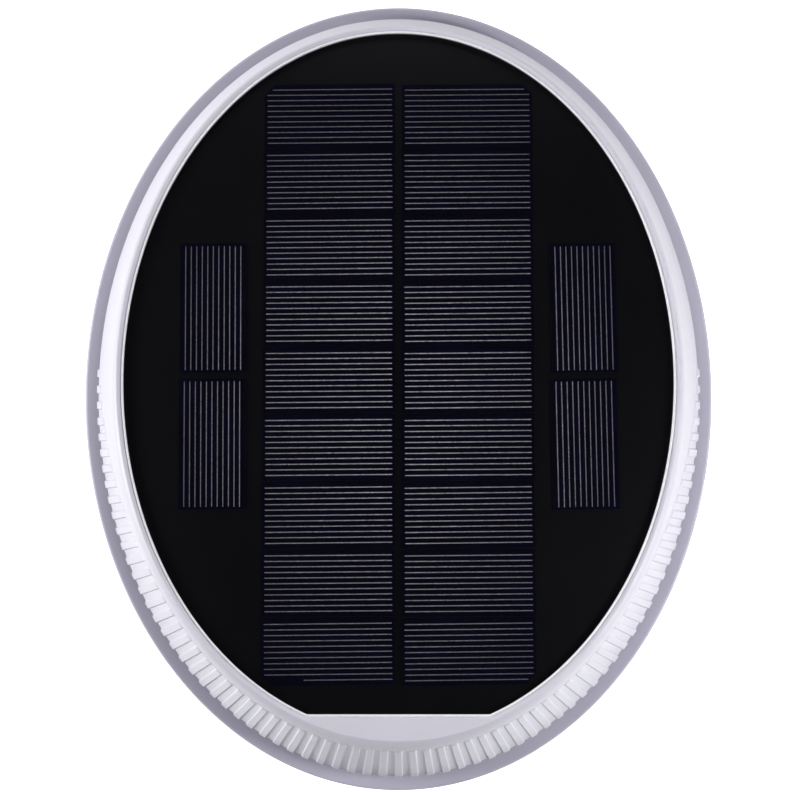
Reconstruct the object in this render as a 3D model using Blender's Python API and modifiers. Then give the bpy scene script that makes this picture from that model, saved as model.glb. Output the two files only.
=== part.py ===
"""Solar attic fan: an oval roof vent with a wedge-shaped hood, a solar panel let into its sloping top,
and a motor-driven fan in a round duct below it.

Metres, +Z up. The origin is the middle of the underside, at the height of the duct's lower rim. The hood
is low at the back, +Y, and tall and ribbed at the front, -Y. Air is drawn in through the grille under the
duct, rises through the fan into the hood and leaves through the gap between the hood's foot and the flange.
"""

import math

import bmesh
import bpy
from mathutils import Matrix, Vector

MM = 0.001
GAP = 0.3 * MM

# Oval flange that lies on the roof, and the round duct through it.
FLANGE_HALF_X = 152.5 * MM
FLANGE_HALF_Y = 190.5 * MM
FLANGE_THICK = 3.0 * MM
FLANGE_EDGE_ROUND = 1.2 * MM
DUCT_DROP = 46.0 * MM
DUCT_RADIUS = 101.5 * MM
DUCT_WALL = 2.5 * MM
RAIN_DAM = 14.0 * MM
FLANGE_TOP = DUCT_DROP + FLANGE_THICK
DAM_TOP = FLANGE_TOP + RAIN_DAM

# Foam gasket between the flange and the roof, and the holes for the roof screws.
GASKET_THICK = 3.0 * MM
GASKET_OUTER_INSET = 4.5 * MM
GASKET_WIDTH = 17.0 * MM
FIXING_INSET = 13.5 * MM
FIXING_COUNT = 6
FIXING_HOLE_RADIUS = 2.5 * MM

# Hood: its foot is an ellipse above the flange, its crest an ellipse on the sloping top plane.
HOOD_LIFT = 8.0 * MM
FOOT_HALF_X = 145.3 * MM
FOOT_HALF_Y = 183.2 * MM
FOOT_CENTRE_Y = 0.9 * MM
CREST_HALF_X = 133.3 * MM
CREST_HALF_Y = 168.9 * MM
CREST_CENTRE_Y = 10.3 * MM
TOP_HEIGHT = 46.0 * MM
TOP_SLOPE = 0.16
HOOD_WALL = 2.4 * MM
SHOULDER_SHARE = 0.13
SHOULDER_DROP = 0.07
FOOT_Z = FLANGE_TOP + HOOD_LIFT
TILT = math.atan(TOP_SLOPE)

# Ribs round the front half of the hood's skirt.
RIB_PITCHES = 134
RIB_RAISE = 0.85 * MM
RIB_PROFILE = ((0.21, 0.0), (0.30, 1.0), (0.70, 1.0), (0.79, 0.0))
RIB_END_Y = 20.0 * MM
RIB_GROWTH = 0.45
RIB_TOP_GAP = 1.5 * MM
RIB_LEAST_LENGTH = 1.5 * MM
RIB_LEAD_IN = 1.0 * MM
INNER_PITCHES = 2

# Panel: an ellipse cut straight across at the front. Heights are below the hood's top plane.
PANEL_HALF_X = 130.0 * MM
PANEL_HALF_Y = 167.8 * MM
PANEL_CENTRE_V = 10.6 * MM
PANEL_CHORD_V = -148.0 * MM
PANEL_SEGMENTS = 76
RECESS_GAP = 0.4 * MM
LEDGE_WIDTH = 1.0 * MM
LEDGE_DEPTH = 1.1 * MM
SLOPE_WIDTH = 2.0 * MM
CHORD_SLOPE_WIDTH = 0.8 * MM
TRAY_DEPTH = 5.7 * MM
TRAY_THICK = 2.3 * MM
TRAY_UNDERSIDE = TRAY_DEPTH + TRAY_THICK
COVER_THICK = 0.9 * MM
CELL_THICK = 0.4 * MM
BOARD_THICK = 1.4 * MM
SEAL_THICK = 0.8 * MM
SEAL_INSET = 1.5 * MM
SEAL_WIDTH = 8.0 * MM
BOARD_BOTTOM = -TRAY_DEPTH + 2 * GAP + SEAL_THICK

# Solar cells: two columns of lying cells, and two standing cells on each side.
CELL_LONG = 62.5 * MM
CELL_SHORT = 31.25 * MM
CELL_ROWS = 9
ROW_PITCH = 32.1 * MM
COLUMN_HALF_PITCH = 32.9 * MM
GRID_CENTRE_V = 9.4 * MM
SIDE_CELL_X = 88.0 * MM
SIDE_CELL_V = 11.6 * MM
SIDE_CELL_PITCH = 65.2 * MM
CORNER_CUT = 5.0 * MM

# Junction box under the tray, over the front of the duct, and the hole that the leads pass through.
BOX_V = -78.0 * MM
BOX_SIZE = (58.0 * MM, 40.0 * MM, 13.0 * MM)
BOX_WALL = 1.8 * MM
BOX_LID_THICK = 1.6 * MM
LEAD_HOLE_RADIUS = 4.0 * MM
LEAD_RADIUS = 1.1 * MM
LEAD_EXIT_RADIUS = 1.6 * MM
LEAD_X = 12.0 * MM
LEAD_STEP = 5.0 * MM

# Fan: a hub cup round the lower half of the motor, and twisted blades.
BLADE_COUNT = 5
BLADE_ROOT_RADIUS = 21.3 * MM
BLADE_TIP_RADIUS = 96.5 * MM
BLADE_ROOT_CHORD = 34.0 * MM
BLADE_TIP_CHORD = 58.0 * MM
BLADE_ROOT_PITCH = math.radians(40.0)
BLADE_TIP_PITCH = math.radians(22.0)
BLADE_THICK = 2.0 * MM
BLADE_HEIGHT = 28.5 * MM
BLADE_CAMBER = 0.06

# Motor, brushless, standing in a sleeve at the middle of a three-armed bracket.
SHAFT_RADIUS = 2.0 * MM
SHAFT_CLEARANCE = 0.1 * MM
MOTOR_TOP = 66.0 * MM
BEARING_RADIUS = 5.0 * MM
ARM_ANGLES = (30.0, 150.0, 270.0)
ARM_REACH = 108.0 * MM
ARM_WIDTH = 8.0 * MM
ARM_HEIGHT = 6.0 * MM
ARM_PAD_RADIUS = 6.0 * MM
BRACKET_BOTTOM = DAM_TOP + GAP
BRACKET_TOP = BRACKET_BOTTOM + ARM_HEIGHT
TERMINAL_X = 6.0 * MM
MOTOR_SCREW_Y = 15.0 * MM

STATOR_BOTTOM = 33.0 * MM
STATOR_TOP = 51.0 * MM
STATOR_RADIUS = 16.7 * MM
STATOR_BORE = 9.0 * MM
ROTOR_RADIUS = 8.4 * MM
STATOR_SLOTS = 6
STATOR_SLOT_HALF_WIDTH = 1.6 * MM
STATOR_SLOT_REACH = 14.2 * MM
SHAFT_TOP = 64.9 * MM
SHAFT_BOTTOM = 7.5 * MM
TERMINAL_HEIGHT = 2.0 * MM

# Thermal switch on the front arm of the bracket.
SWITCH_Y = -46.0 * MM
SWITCH_RADIUS = 8.0 * MM
SWITCH_HEIGHT = 7.0 * MM
SWITCH_TERMINAL_X = 4.0 * MM

# Intake grille and the lugs it screws to.
GRILLE_THICK = 3.0 * MM
# Each ring of slots: how many, inner and outer radius, width.
GRILLE_SLOT_RINGS = ((18, 18.0 * MM, 51.0 * MM, 3.4 * MM), (42, 55.0 * MM, 89.0 * MM, 5.0 * MM))
GRILLE_LUG_ANGLES = (90.0, 210.0, 330.0)
GRILLE_LUG_RADIUS = 5.5 * MM
GRILLE_LUG_TOP = 13.0 * MM
GRILLE_SCREW_REACH = 96.0 * MM

# Hood screws come up from below the flange, through a pad, into a boss of the hood.
HOOD_SCREW_PLACES = ((70.0 * MM, -115.0 * MM), (78.0 * MM, 128.0 * MM))
PAD_RADIUS = 7.0 * MM
PAD_HEIGHT = 6.0 * MM
BOSS_RADIUS = 5.5 * MM

# Screws.
SCREW_RADIUS = 1.5 * MM
SCREW_HEAD_RADIUS = 3.2 * MM
SCREW_HEAD_HEIGHT = 2.0 * MM

# Colours as linear RGB, with roughness and metallic.
WHITE_PLASTIC = ((0.72, 0.71, 0.76), 0.38, 0.0)
GREY_PLASTIC = ((0.33, 0.32, 0.37), 0.42, 0.0)
BLACK_PLASTIC = ((0.020, 0.020, 0.022), 0.5, 0.0)
FOAM = ((0.045, 0.045, 0.045), 0.95, 0.0)
SEALANT = ((0.62, 0.62, 0.62), 0.6, 0.0)
BACK_SHEET = ((0.006, 0.006, 0.008), 0.45, 0.0)
CELL = ((0.010, 0.011, 0.030), 0.25, 0.3)
CLEAR = ((0.8, 0.8, 0.8), 0.06, 0.0)
STEEL = ((0.55, 0.55, 0.56), 0.3, 1.0)
ZINC = ((0.50, 0.50, 0.52), 0.35, 1.0)
COPPER = ((0.55, 0.22, 0.10), 0.4, 1.0)
MAGNET = ((0.06, 0.06, 0.065), 0.5, 0.6)
CIRCUIT = ((0.01, 0.10, 0.04), 0.5, 0.0)
RED = ((0.45, 0.02, 0.02), 0.45, 0.0)
BLACK_WIRE = ((0.02, 0.02, 0.02), 0.45, 0.0)
BAKELITE = ((0.03, 0.025, 0.02), 0.45, 0.0)


def clear_scene():
    for obj in list(bpy.data.objects):
        bpy.data.objects.remove(obj, do_unlink=True)


def make_collection(name):
    made = bpy.data.collections.new(name)
    bpy.context.scene.collection.children.link(made)
    return made


clear_scene()
PARTS = make_collection("solar_attic_fan")
CUTTERS = make_collection("cutters")
CUTTERS.hide_render = True


def make_material(name, look):
    color, roughness, metallic = look
    made = bpy.data.materials.new(name)
    made.use_nodes = True
    shader = made.node_tree.nodes["Principled BSDF"]
    shader.inputs["Base Color"].default_value = (*color, 1.0)
    shader.inputs["Roughness"].default_value = roughness
    shader.inputs["Metallic"].default_value = metallic
    return made


def add_object(name, mesh, collection):
    obj = bpy.data.objects.new(name, mesh)
    collection.objects.link(obj)
    return obj


def add_part(name, mesh, look):
    obj = add_object(name, mesh, PARTS)
    obj.data.materials.clear()
    obj.data.materials.append(make_material(name, look))
    return obj


def add_cutter(name, mesh):
    obj = add_object(name, mesh, CUTTERS)
    obj.hide_render = True
    obj.display_type = "WIRE"
    return obj


def cut(obj, cutter, operation="DIFFERENCE"):
    """Boolean of obj with a helper object, kept as a modifier until bake_modifiers."""
    modifier = obj.modifiers.new(cutter.name, "BOOLEAN")
    modifier.operation = operation
    modifier.object = cutter
    modifier.solver = "EXACT"


def join(obj, addition):
    cut(obj, addition, "UNION")


def bmesh_to_mesh(name, shape):
    mesh = bpy.data.meshes.new(name)
    shape.to_mesh(mesh)
    shape.free()
    return mesh


def cylinder_into(shape, radius, low, high, centre=(0.0, 0.0), segments=16):
    """Adds an upright cylinder to a bmesh, between two heights."""
    place = Matrix.Translation((centre[0], centre[1], (low + high) / 2))
    bmesh.ops.create_cone(
        shape,
        cap_ends=True,
        segments=segments,
        radius1=radius,
        radius2=radius,
        depth=high - low,
        matrix=place,
    )


def cylinders(name, radius, low, high, centres=((0.0, 0.0),), segments=16):
    shape = bmesh.new()
    for centre in centres:
        cylinder_into(shape, radius, low, high, centre, segments)
    return bmesh_to_mesh(name, shape)


def box_into(shape, low, high, turn=0.0):
    """Adds a box between two corners to a bmesh, turned about the Z axis."""
    low = Vector(low)
    high = Vector(high)
    size = high - low
    upright = Matrix.Translation((low + high) / 2) @ Matrix.Diagonal((*size, 1.0))
    place = Matrix.Rotation(turn, 4, "Z") @ upright
    bmesh.ops.create_cube(shape, size=1.0, matrix=place)


def box(name, low, high):
    shape = bmesh.new()
    box_into(shape, low, high)
    return bmesh_to_mesh(name, shape)


def elliptic_cylinder(name, half_x, half_y, low, high, segments=88):
    shape = bmesh.new()
    cylinder_into(shape, 1.0, low, high, segments=segments)
    bmesh.ops.scale(shape, vec=(half_x, half_y, 1.0), verts=shape.verts)
    return bmesh_to_mesh(name, shape)


def evaluated_mesh(obj):
    bpy.context.view_layer.update()
    graph = bpy.context.evaluated_depsgraph_get()
    return bpy.data.meshes.new_from_object(obj.evaluated_get(graph))


def turned(name, profile, closed=True, segments=32):
    """A turned mesh. The profile is (radius, height) points, outer side first, from top to bottom."""
    shape = bmesh.new()
    points = [shape.verts.new((radius, 0.0, height)) for radius, height in profile]
    for first, second in zip(points, points[1:]):
        shape.edges.new((first, second))
    if closed:
        shape.edges.new((points[-1], points[0]))
    obj = add_object(name, bmesh_to_mesh(name, shape), CUTTERS)
    screw = obj.modifiers.new("turn", "SCREW")
    screw.angle = math.tau
    screw.axis = "Z"
    screw.steps = segments
    screw.render_steps = segments
    screw.use_merge_vertices = True
    screw.merge_threshold = 0.00001
    mesh = evaluated_mesh(obj)
    bpy.data.objects.remove(obj, do_unlink=True)
    return mesh


def loft(name, outlines, wrap=False):
    """A closed mesh through outlines of equal length, capped at both ends or, with wrap, closed on itself."""
    shape = bmesh.new()
    rings = [[shape.verts.new(point) for point in outline] for outline in outlines]
    steps = list(zip(rings, rings[1:]))
    if wrap:
        steps.append((rings[-1], rings[0]))
    else:
        shape.faces.new(list(reversed(rings[0])))
        shape.faces.new(rings[-1])
    for lower, upper in steps:
        for index, corner in enumerate(lower):
            after = (index + 1) % len(lower)
            shape.faces.new((corner, lower[after], upper[after], upper[index]))
    bmesh.ops.recalc_face_normals(shape, faces=shape.faces)
    return bmesh_to_mesh(name, shape)


def panel_frame():
    """An empty on the hood's top plane, over the middle of the duct, with its Z axis square to the plane."""
    empty = bpy.data.objects.new("panel_frame", None)
    PARTS.objects.link(empty)
    empty.location = (0.0, 0.0, FLANGE_TOP + TOP_HEIGHT)
    empty.rotation_euler = (-TILT, 0.0, 0.0)
    return empty


PANEL_FRAME = panel_frame()


def on_panel(obj):
    obj.parent = PANEL_FRAME
    return obj


def from_panel(point):
    """World position of a point in the panel's frame."""
    place = Matrix.Translation((0.0, 0.0, FLANGE_TOP + TOP_HEIGHT)) @ Matrix.Rotation(-TILT, 4, "X")
    return place @ Vector(point)


def top_plane(y):
    """Height of the hood's top plane."""
    return FLANGE_TOP + TOP_HEIGHT - TOP_SLOPE * y


def panel_outline(grow, chord_grow, height):
    """The panel's outline, grown by a margin, as points in the panel's frame."""
    half_x = PANEL_HALF_X + grow
    half_y = PANEL_HALF_Y + grow
    chord = PANEL_CHORD_V - chord_grow
    start = math.asin((chord - PANEL_CENTRE_V) / half_y)
    sweep = math.pi - 2 * start
    angles = [start + sweep * index / PANEL_SEGMENTS for index in range(PANEL_SEGMENTS + 1)]
    return [(half_x * math.cos(a), PANEL_CENTRE_V + half_y * math.sin(a), height) for a in angles]


def foot_angles(fractions):
    """Ellipse angles of the hood's foot at fractions of its length, counted from +X."""
    samples = 3600
    lengths = [0.0]
    for index in range(samples):
        angle = math.tau * (index + 0.5) / samples
        step = math.hypot(FOOT_HALF_X * math.sin(angle), FOOT_HALF_Y * math.cos(angle))
        lengths.append(lengths[-1] + step)
    found = []
    index = 0
    for fraction in fractions:
        wanted = fraction * lengths[-1]
        while lengths[index + 1] < wanted:
            index += 1
        part = (wanted - lengths[index]) / (lengths[index + 1] - lengths[index])
        found.append(math.tau * (index + part) / samples)
    return found


def skirt_line(angle):
    """Foot point, inward direction and crest point of the hood's skirt, in plan."""
    foot = Vector((FOOT_HALF_X * math.cos(angle), FOOT_CENTRE_Y + FOOT_HALF_Y * math.sin(angle)))
    inward = -Vector((math.cos(angle) / FOOT_HALF_X, math.sin(angle) / FOOT_HALF_Y)).normalized()
    # The crest is the first crossing of the inward line with the crest's ellipse.
    scale = Vector((1 / CREST_HALF_X, 1 / CREST_HALF_Y))
    start = (foot - Vector((0.0, CREST_CENTRE_Y))) * scale
    step = inward * scale
    square = step.dot(step)
    half = start.dot(step)
    reach = (-half - math.sqrt(half * half - square * (start.dot(start) - 1.0))) / square
    return foot, inward, foot + inward * reach


def rib_length(y):
    """Height that the ribs reach above the hood's foot, where its foot is at y."""
    return RIB_GROWTH * (RIB_END_Y - y)


def hood_profile(angle):
    """Points of the hood's skirt on one upright line, from the foot to the crest, in world space."""
    foot, inward, crest = skirt_line(angle)
    corner = crest + (foot - crest) * SHOULDER_SHARE
    top = top_plane(crest.y)
    foot_point = Vector((foot.x, foot.y, FOOT_Z))
    corner_point = Vector((corner.x, corner.y, top))
    crest_point = Vector((crest.x, crest.y, top))
    shoulder = corner_point.lerp(foot_point, SHOULDER_DROP)
    return foot_point, inward, shoulder, crest_point


def hood_stations():
    """(angle, rib share, rib) for each line of the skirt that the ribs need."""
    stations = []
    fractions = []
    for pitch in range(RIB_PITCHES):
        middle = foot_angles([(pitch + 0.5) / RIB_PITCHES])[0]
        ribbed = rib_length(FOOT_CENTRE_Y + FOOT_HALF_Y * math.sin(middle)) > RIB_LEAST_LENGTH
        for place, share in RIB_PROFILE if ribbed else RIB_PROFILE[:1]:
            fractions.append((pitch + place) / RIB_PITCHES)
            stations.append((pitch, share))
    angles = foot_angles(fractions)
    return [(angle, share, pitch) for angle, (pitch, share) in zip(angles, stations)]


def hood_mesh():
    """The hood as one shell: ribbed skirt, shoulder, top plate and the inside of the skirt."""
    shape = bmesh.new()
    names = ("foot", "rib", "rib_end", "shoulder", "crest", "inner_foot", "inner_top")
    rings = {name: [] for name in names}
    cells = []
    for angle, share, pitch in hood_stations():
        foot, inward, shoulder, crest = hood_profile(angle)
        outward = Vector((-inward.x, -inward.y, 0.0))
        rise = shoulder.z - FOOT_Z
        height = min(max(rib_length(foot.y), RIB_LEAST_LENGTH), rise - RIB_TOP_GAP)
        raised = outward * RIB_RAISE * share
        end = foot.lerp(shoulder, height / rise)
        start = foot.lerp(shoulder, (height - RIB_LEAD_IN) / rise)
        rings["foot"].append(shape.verts.new(foot + raised))
        rings["rib"].append(shape.verts.new(start + raised))
        rings["rib_end"].append(shape.verts.new(end))
        if len(cells) > pitch:
            continue
        cells.append(len(rings["foot"]) - 1)
        rings["shoulder"].append(shape.verts.new(shoulder))
        rings["crest"].append(shape.verts.new(crest))
        if pitch % INNER_PITCHES:
            continue
        underside = top_plane(crest.y) - TRAY_UNDERSIDE / math.cos(TILT)
        inner_foot = foot - outward * HOOD_WALL
        inner_top = foot.lerp(shoulder, (underside - FOOT_Z) / rise) - outward * HOOD_WALL
        inner_top.z = top_plane(inner_top.y) - TRAY_UNDERSIDE / math.cos(TILT)
        rings["inner_foot"].append(shape.verts.new(inner_foot))
        rings["inner_top"].append(shape.verts.new(inner_top))

    def strip(lower, upper):
        for index, corner in enumerate(lower):
            after = (index + 1) % len(lower)
            shape.faces.new((corner, lower[after], upper[after], upper[index]))

    def stitch(many, few, starts):
        """Joins a fine ring to a coarse one, one face for each step of the coarse ring."""
        for index, first in enumerate(starts):
            last = starts[index + 1] if index + 1 < len(starts) else len(many)
            run = [many[place % len(many)] for place in range(first, last + 1)]
            after = (index + 1) % len(few)
            shape.faces.new([*run, few[after], few[index]])

    strip(rings["foot"], rings["rib"])
    strip(rings["rib"], rings["rib_end"])
    stitch(rings["rib_end"], rings["shoulder"], cells)
    strip(rings["shoulder"], rings["crest"])
    shape.faces.new(rings["crest"])
    stitch(rings["foot"], rings["inner_foot"], cells[::INNER_PITCHES])
    strip(rings["inner_foot"], rings["inner_top"])
    shape.faces.new(rings["inner_top"])
    bmesh.ops.recalc_face_normals(shape, faces=shape.faces)
    return bmesh_to_mesh("hood_shell", shape)


def hood_screw_places():
    return [(side * x, y) for x, y in HOOD_SCREW_PLACES for side in (-1, 1)]


def round_places(angles, reach):
    return [(reach * math.cos(math.radians(a)), reach * math.sin(math.radians(a))) for a in angles]


def build_hood():
    hood = add_part("hood_shell", hood_mesh(), WHITE_PLASTIC)
    ledge = RECESS_GAP + LEDGE_WIDTH
    lead = 1.0 * MM
    slope = SLOPE_WIDTH / LEDGE_DEPTH
    chord_slope = CHORD_SLOPE_WIDTH / LEDGE_DEPTH
    recess = loft(
        "panel_recess",
        [
            panel_outline(RECESS_GAP, RECESS_GAP, -TRAY_DEPTH),
            panel_outline(RECESS_GAP, RECESS_GAP, -LEDGE_DEPTH),
            panel_outline(ledge, ledge, -LEDGE_DEPTH),
            panel_outline(ledge + slope * lead, ledge + chord_slope * lead, lead - LEDGE_DEPTH),
            panel_outline(ledge + SLOPE_WIDTH, ledge + CHORD_SLOPE_WIDTH, lead),
        ],
    )
    bosses = bmesh.new()
    for x, y in hood_screw_places():
        top = top_plane(y) - TRAY_DEPTH - TRAY_THICK / 2
        cylinder_into(bosses, BOSS_RADIUS, FLANGE_TOP + PAD_HEIGHT + GAP, top, (x, y))
    join(hood, add_cutter("hood_bosses", bmesh_to_mesh("hood_bosses", bosses)))
    cut(hood, on_panel(add_cutter("panel_recess", recess)))
    holes = bmesh.new()
    for place in hood_screw_places():
        cylinder_into(holes, SCREW_RADIUS + GAP, DUCT_DROP, FLANGE_TOP + PAD_HEIGHT + 9 * MM, place, 12)
    cut(hood, add_cutter("hood_screw_holes", bmesh_to_mesh("hood_screw_holes", holes)))
    slot = cylinders(
        "lead_hole",
        LEAD_HOLE_RADIUS,
        -TRAY_UNDERSIDE - 1 * MM,
        -TRAY_DEPTH + 1 * MM,
        ((-LEAD_X, BOX_V), (LEAD_X, BOX_V)),
        20,
    )
    cut(hood, on_panel(add_cutter("lead_hole", slot)))


def fixing_places():
    half_x = FLANGE_HALF_X - FIXING_INSET
    half_y = FLANGE_HALF_Y - FIXING_INSET
    angles = [math.tau * index / FIXING_COUNT for index in range(FIXING_COUNT)]
    return [(half_x * math.cos(angle), half_y * math.sin(angle)) for angle in angles]


def build_roof_base():
    flange = elliptic_cylinder("roof_base", FLANGE_HALF_X, FLANGE_HALF_Y, DUCT_DROP, FLANGE_TOP)
    base = add_part("roof_base", flange, GREY_PLASTIC)
    bevel = base.modifiers.new("edge_round", "BEVEL")
    bevel.width = FLANGE_EDGE_ROUND
    bevel.segments = 1
    bevel.limit_method = "ANGLE"
    bevel.angle_limit = math.radians(40.0)
    middle = DUCT_RADIUS + DUCT_WALL / 2
    cut(base, add_cutter("duct_opening", cylinders("duct_opening", middle, 0.0, DAM_TOP, segments=60)))
    outer = DUCT_RADIUS + DUCT_WALL
    wall = [(outer, DAM_TOP), (outer, 0.0), (DUCT_RADIUS, 0.0), (DUCT_RADIUS, DAM_TOP)]
    join(base, add_cutter("duct_wall", turned("duct_wall", wall, segments=60)))
    pads = bmesh.new()
    for place in hood_screw_places():
        cylinder_into(pads, PAD_RADIUS, DUCT_DROP + FLANGE_THICK / 2, FLANGE_TOP + PAD_HEIGHT, place)
    for place in round_places(ARM_ANGLES, ARM_REACH + 0.5 * MM):
        cylinder_into(pads, ARM_PAD_RADIUS, DUCT_DROP + FLANGE_THICK / 2, DAM_TOP, place)
    for place in round_places(GRILLE_LUG_ANGLES, GRILLE_SCREW_REACH + 1 * MM):
        cylinder_into(pads, GRILLE_LUG_RADIUS, GRILLE_THICK + GAP, GRILLE_LUG_TOP, place)
    join(base, add_cutter("screw_lugs", bmesh_to_mesh("screw_lugs", pads)))
    holes = bmesh.new()
    for place in fixing_places():
        cylinder_into(holes, FIXING_HOLE_RADIUS, DUCT_DROP - 1 * MM, FLANGE_TOP + 1 * MM, place)
    for place in hood_screw_places():
        seat = DUCT_DROP + SCREW_HEAD_HEIGHT + GAP
        cylinder_into(holes, SCREW_HEAD_RADIUS + GAP, DUCT_DROP - 1 * MM, seat, place)
    for place in round_places(ARM_ANGLES, ARM_REACH):
        cylinder_into(holes, SCREW_RADIUS + GAP, DAM_TOP - 11 * MM, DAM_TOP + 1 * MM, place, 12)
    for place in round_places(GRILLE_LUG_ANGLES, GRILLE_SCREW_REACH):
        cylinder_into(holes, SCREW_RADIUS + GAP, GRILLE_THICK, GRILLE_LUG_TOP - 1.5 * MM, place, 12)
    cut(base, add_cutter("base_holes", bmesh_to_mesh("base_holes", holes)))
    shanks = bmesh.new()
    for place in hood_screw_places():
        cylinder_into(shanks, SCREW_RADIUS + GAP, DUCT_DROP, FLANGE_TOP + PAD_HEIGHT + 1 * MM, place, 12)
    cut(base, add_cutter("pad_holes", bmesh_to_mesh("pad_holes", shanks)))


def build_gasket():
    top = DUCT_DROP - GAP
    low = top - GASKET_THICK
    half_x = FLANGE_HALF_X - GASKET_OUTER_INSET
    half_y = FLANGE_HALF_Y - GASKET_OUTER_INSET
    ring = elliptic_cylinder("flange_gasket", half_x, half_y, low, top, 56)
    gasket = add_part("flange_gasket", ring, FOAM)
    inner = elliptic_cylinder(
        "gasket_inside", half_x - GASKET_WIDTH, half_y - GASKET_WIDTH, low - 1 * MM, top + 1 * MM, 56
    )
    cut(gasket, add_cutter("gasket_inside", inner))
    holes = bmesh.new()
    for place in fixing_places():
        cylinder_into(holes, FIXING_HOLE_RADIUS, low - 1 * MM, top + 1 * MM, place)
    cut(gasket, add_cutter("gasket_holes", bmesh_to_mesh("gasket_holes", holes)))


def panel_plate(name, grow, low, high, look):
    outlines = [panel_outline(grow, grow, low), panel_outline(grow, grow, high)]
    return on_panel(add_part(name, loft(name, outlines), look))


def build_panel():
    seal_low = -TRAY_DEPTH + GAP
    seal_high = seal_low + SEAL_THICK
    outer = -SEAL_INSET
    inner = -SEAL_INSET - SEAL_WIDTH
    seal = loft(
        "panel_seal",
        [
            panel_outline(outer, outer, seal_low),
            panel_outline(outer, outer, seal_high),
            panel_outline(inner, inner, seal_high),
            panel_outline(inner, inner, seal_low),
        ],
        wrap=True,
    )
    on_panel(add_part("panel_seal", seal, SEALANT))
    panel_plate("panel_backsheet", 0.0, BOARD_BOTTOM, BOARD_BOTTOM + BOARD_THICK, BACK_SHEET)
    panel_plate("panel_cover", 0.0, -LEDGE_DEPTH - COVER_THICK, -LEDGE_DEPTH, CLEAR)


def cell_mesh(name, size, corner=None):
    """One cell about its own middle. corner gives the signs of the corner that is cut off."""
    half_x = size[0] / 2
    half_y = size[1] / 2
    shape = bmesh.new()
    box_into(shape, (-half_x, -half_y, 0.0), (half_x, half_y, CELL_THICK))
    if corner:
        on_cut = (corner[0] * (half_x - CORNER_CUT), corner[1] * half_y, 0.0)
        away = Vector((corner[0], corner[1], 0.0)).normalized()
        everything = [*shape.verts, *shape.edges, *shape.faces]
        result = bmesh.ops.bisect_plane(
            shape, geom=everything, plane_co=on_cut, plane_no=away, clear_outer=True
        )
        edges = [item for item in result["geom_cut"] if isinstance(item, bmesh.types.BMEdge)]
        bmesh.ops.contextual_create(shape, geom=edges)
        bmesh.ops.recalc_face_normals(shape, faces=shape.faces)
    return bmesh_to_mesh(name, shape)


def build_cells():
    height = BOARD_BOTTOM + BOARD_THICK + GAP
    number = 1
    for row in range(CELL_ROWS):
        v = GRID_CENTRE_V + ROW_PITCH * ((CELL_ROWS - 1) / 2 - row)
        for side in (-1, 1):
            upright = {0: 1, CELL_ROWS - 1: -1}.get(row)
            corner = (side, upright) if upright else None
            name = f"solar_cell_{number:02d}"
            cell = on_panel(add_part(name, cell_mesh(name, (CELL_LONG, CELL_SHORT), corner), CELL))
            cell.location = (side * COLUMN_HALF_PITCH, v, height)
            number += 1
    for side in (-1, 1):
        for step in (0.5, -0.5):
            name = f"solar_cell_{number:02d}"
            cell = on_panel(add_part(name, cell_mesh(name, (CELL_SHORT, CELL_LONG)), CELL))
            cell.location = (side * SIDE_CELL_X, SIDE_CELL_V + step * SIDE_CELL_PITCH, height)
            number += 1


def build_junction_box():
    half_x, half_y, height = BOX_SIZE[0] / 2, BOX_SIZE[1] / 2, BOX_SIZE[2]
    top = -TRAY_UNDERSIDE - GAP
    low = top - height
    shell = box("junction_box", (-half_x, BOX_V - half_y, low), (half_x, BOX_V + half_y, top))
    body = on_panel(add_part("junction_box", shell, BLACK_PLASTIC))
    hollow = box(
        "box_hollow",
        (BOX_WALL - half_x, BOX_V + BOX_WALL - half_y, low - 1 * MM),
        (half_x - BOX_WALL, BOX_V + half_y - BOX_WALL, top - BOX_WALL),
    )
    cut(body, on_panel(add_cutter("box_hollow", hollow)))
    places = ((-LEAD_X, BOX_V), (LEAD_X, BOX_V))
    entries = cylinders("box_entries", LEAD_HOLE_RADIUS, top - BOX_WALL - 1 * MM, top + 1 * MM, places, 20)
    cut(body, on_panel(add_cutter("box_entries", entries)))
    exits = bmesh.new()
    for x in (-LEAD_X, LEAD_X):
        middle = Matrix.Translation((x, BOX_V + half_y, lead_exit_height()))
        place = middle @ Matrix.Rotation(math.pi / 2, 4, "X")
        bmesh.ops.create_cone(
            exits,
            cap_ends=True,
            segments=16,
            radius1=LEAD_EXIT_RADIUS,
            radius2=LEAD_EXIT_RADIUS,
            depth=4 * BOX_WALL,
            matrix=place,
        )
    cut(body, on_panel(add_cutter("box_exits", bmesh_to_mesh("box_exits", exits))))
    lid_top = low - GAP
    lid_low = (-half_x, BOX_V - half_y, lid_top - BOX_LID_THICK)
    lid = box("junction_box_lid", lid_low, (half_x, BOX_V + half_y, lid_top))
    on_panel(add_part("junction_box_lid", lid, BLACK_PLASTIC))


def lead_exit_height():
    """Height of the leads' holes in the junction box's wall, in the panel's frame."""
    return -TRAY_UNDERSIDE - GAP - BOX_SIZE[2] / 2


def smooth_route(points, spacing):
    """Points at a spacing along a Catmull-Rom curve through the route's points."""
    ends = [2 * points[0] - points[1], *points, 2 * points[-1] - points[-2]]
    route = []
    for before, first, second, after in zip(ends, ends[1:], ends[2:], ends[3:]):
        steps = max(1, round((second - first).length / spacing))
        for index in range(steps):
            t = index / steps
            route.append(
                0.5
                * (
                    2 * first
                    + (second - before) * t
                    + (2 * before - 5 * first + 4 * second - after) * t**2
                    + (3 * first - before - 3 * second + after) * t**3
                )
            )
    route.append(points[-1])
    return route


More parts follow.
